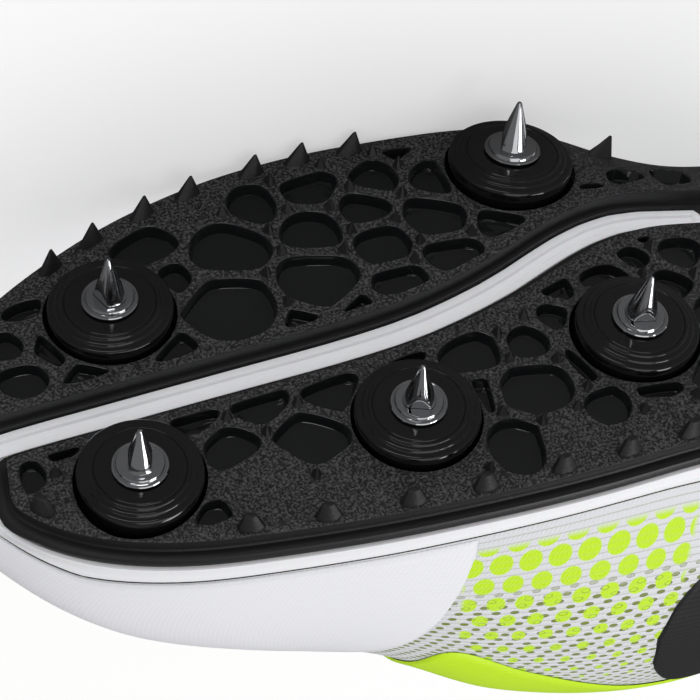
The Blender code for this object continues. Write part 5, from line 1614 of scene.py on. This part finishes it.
def fine_eyelets():
    """A raised ring around each eyelet, and inside it a disc of the dark lining on the unpierced upper:
    the lining's own colour, with the hole's shade painted.
    """
    piece = Piece()
    turn = np.linspace(0, 2 * math.pi, 32, endpoint=False)
    section = [(0.35, 0.05), (0.62, 0.28), (1.0, 0.36), (1.3, 0.22), (1.5, -0.1)]
    for row in LACE_ROWS:
        for around in (around_at(row), 2.0 - around_at(row)):
            point, out = near_throat(around, EYELET_REACH - 0.6, FILM + 0.1)
            side = np.cross(out, [0.0, 0.0, 1.0])
            side /= np.linalg.norm(side)
            other = np.cross(out, side)
            ways = np.cos(turn)[:, None] * side + np.sin(turn)[:, None] * other
            rings = [piece.ring(point + ways * (EYELET_RADIUS - 1.0 + r) + out * h)
                     for r, h in section]
            piece.bands(rings)
            # painted shade of the hole: a disc in the lining's dark colour stands for the opening, which
            # the upper doesn't have
            piece.fan(rings[0], 1)
    piece.made("eyelet_rings", [FILM_NEON, LINING], "neon", (), 60.0)


fine_laces()
fine_eyelets()

# %% [markdown]
# The photograph was taken on a white table under large soft lights. The camera keeps its angle
# to the sole. Because the shoe lies on its side, that camera stands above the floor and is
# rolled, so that the picture shows the shoe the way round that the photograph does.

# %% Floor, light and camera
CAMERA_TARGET = (212.29, -10.91, 0.86)
CAMERA_TILT = 44.32
CAMERA_HEADING = -33.84
CAMERA_ROLL = -14.0
CAMERA_DISTANCE = 1423.5
FOCAL_PIXELS = 8407.4
PICTURE_PIXELS = 700
SENSOR = 36.0
LATERAL = np.array([0.0, -1.0, 0.0])
# name, direction as shares of the camera's right, up and back and of the lateral side, distance
# and size in metres, power in watts
SOFTBOXES = (
    ("key", (-0.3, 0.9, 1.0, 0.0), 1.4, (1.0, 0.8), 6),
    ("edge", (0.8, -0.75, 0.25, 0.0), 1.2, (0.9, 0.5), 5),
    ("top", (0.0, 0.0, 0.5, 1.0), 1.5, (1.2, 1.2), 3),
)


def camera_axes():
    """Right, up and back of the camera, in the shoe's own frame."""
    tilt, heading, roll = np.radians([CAMERA_TILT, CAMERA_HEADING, CAMERA_ROLL])
    back = np.array([-math.sin(tilt) * math.sin(heading), -math.sin(tilt) * math.cos(heading),
                     -math.cos(tilt)])
    ground_way = np.array([0, 0, -1.0])
    up = ground_way - back * (ground_way @ back)
    up /= np.linalg.norm(up)
    right = np.cross(up, back)
    up = up * math.cos(roll) + right * math.sin(roll)
    return np.cross(up, back), up, back


def photo_camera():
    right, up, back = camera_axes()
    data = bpy.data.cameras.new("camera")
    data.sensor_width = SENSOR
    data.lens = FOCAL_PIXELS / PICTURE_PIXELS * SENSOR
    data.clip_start, data.clip_end = 0.05, 30.0
    camera = bpy.data.objects.new("camera", data)
    place = laid(np.array(CAMERA_TARGET) + back * CAMERA_DISTANCE)
    axes = Matrix([list(TURN @ axis) for axis in (right, up, back)]).transposed()
    camera.matrix_world = Matrix.Translation(Vector(place)) @ axes.to_4x4()
    bpy.context.scene.collection.objects.link(camera)
    bpy.context.scene.camera = camera
    print("camera height over the floor in m:", round(float(place[2]), 3))


def floor():
    data = bpy.data.meshes.new("floor")
    size = 6.0
    data.from_pydata([(-size, -size, 0), (size, -size, 0), (size, size, 0), (-size, size, 0)], [],
                     [(0, 1, 2, 3)])
    # a light table: opal acrylic, lit evenly from below, so that shadows stay faint
    made, shader = finish("acrylic_opal_lit", "#C4C4C4", 0.9)
    shader.inputs["Emission Color"].default_value = linear("#FFFFFF")
    # like the room, it is darker in reflections, so that glossy blacks stay deep
    mirrored = add(made, "LightPath", output="Is Glossy Ray")
    plug(made, add(made, "MapRange", {"Value": mirrored, "To Min": 0.46, "To Max": 0.0}), shader,
         "Emission Strength")
    colour = add(made, "Mix", {0: mirrored, 6: "#C4C4C4", 7: "#5A5A5A"}, 2, data_type="RGBA")
    plug(made, colour, shader, "Base Color")
    data.materials.append(made)
    obj = bpy.data.objects.new("floor", data)
    bpy.context.scene.collection.objects.link(obj)


def softbox(name, toward, distance, size, power):
    """A square soft light that faces the shoe from a direction given in the shoe's own frame."""
    toward = TURN @ (np.array(toward) / np.linalg.norm(toward))
    data = bpy.data.lights.new(name, "AREA")
    data.shape = "RECTANGLE"
    data.size, data.size_y = size
    data.energy = power
    light = bpy.data.objects.new(name, data)
    light.location = Vector(laid(np.array(CAMERA_TARGET)) + toward * distance)
    light.rotation_mode = "QUATERNION"
    light.rotation_quaternion = Vector(toward).to_track_quat("Z", "Y")
    bpy.context.scene.collection.objects.link(light)


def studio():
    # the plain sRGB display keeps the neon and the white as the hex values give them
    bpy.context.scene.view_settings.view_transform = "Standard"
    world = bpy.data.worlds.new("studio")
    bpy.context.scene.world = world
    world.use_nodes = True
    background = world.node_tree.nodes["Background"]
    background.inputs["Color"].default_value = linear("#FFFFFF")
    # the room is darker in reflections than in the soft light that fills it
    mirrored = add(world, "LightPath", output="Is Glossy Ray")
    plug(world, add(world, "MapRange", {"Value": mirrored, "To Min": 0.62, "To Max": 0.16}),
         background, "Strength")
    ways = (*camera_axes(), LATERAL)
    for name, shares, distance, size, power in SOFTBOXES:
        softbox(name, sum(way * share for way, share in zip(ways, shares)), distance, size, power)


floor()
studio()
photo_camera()
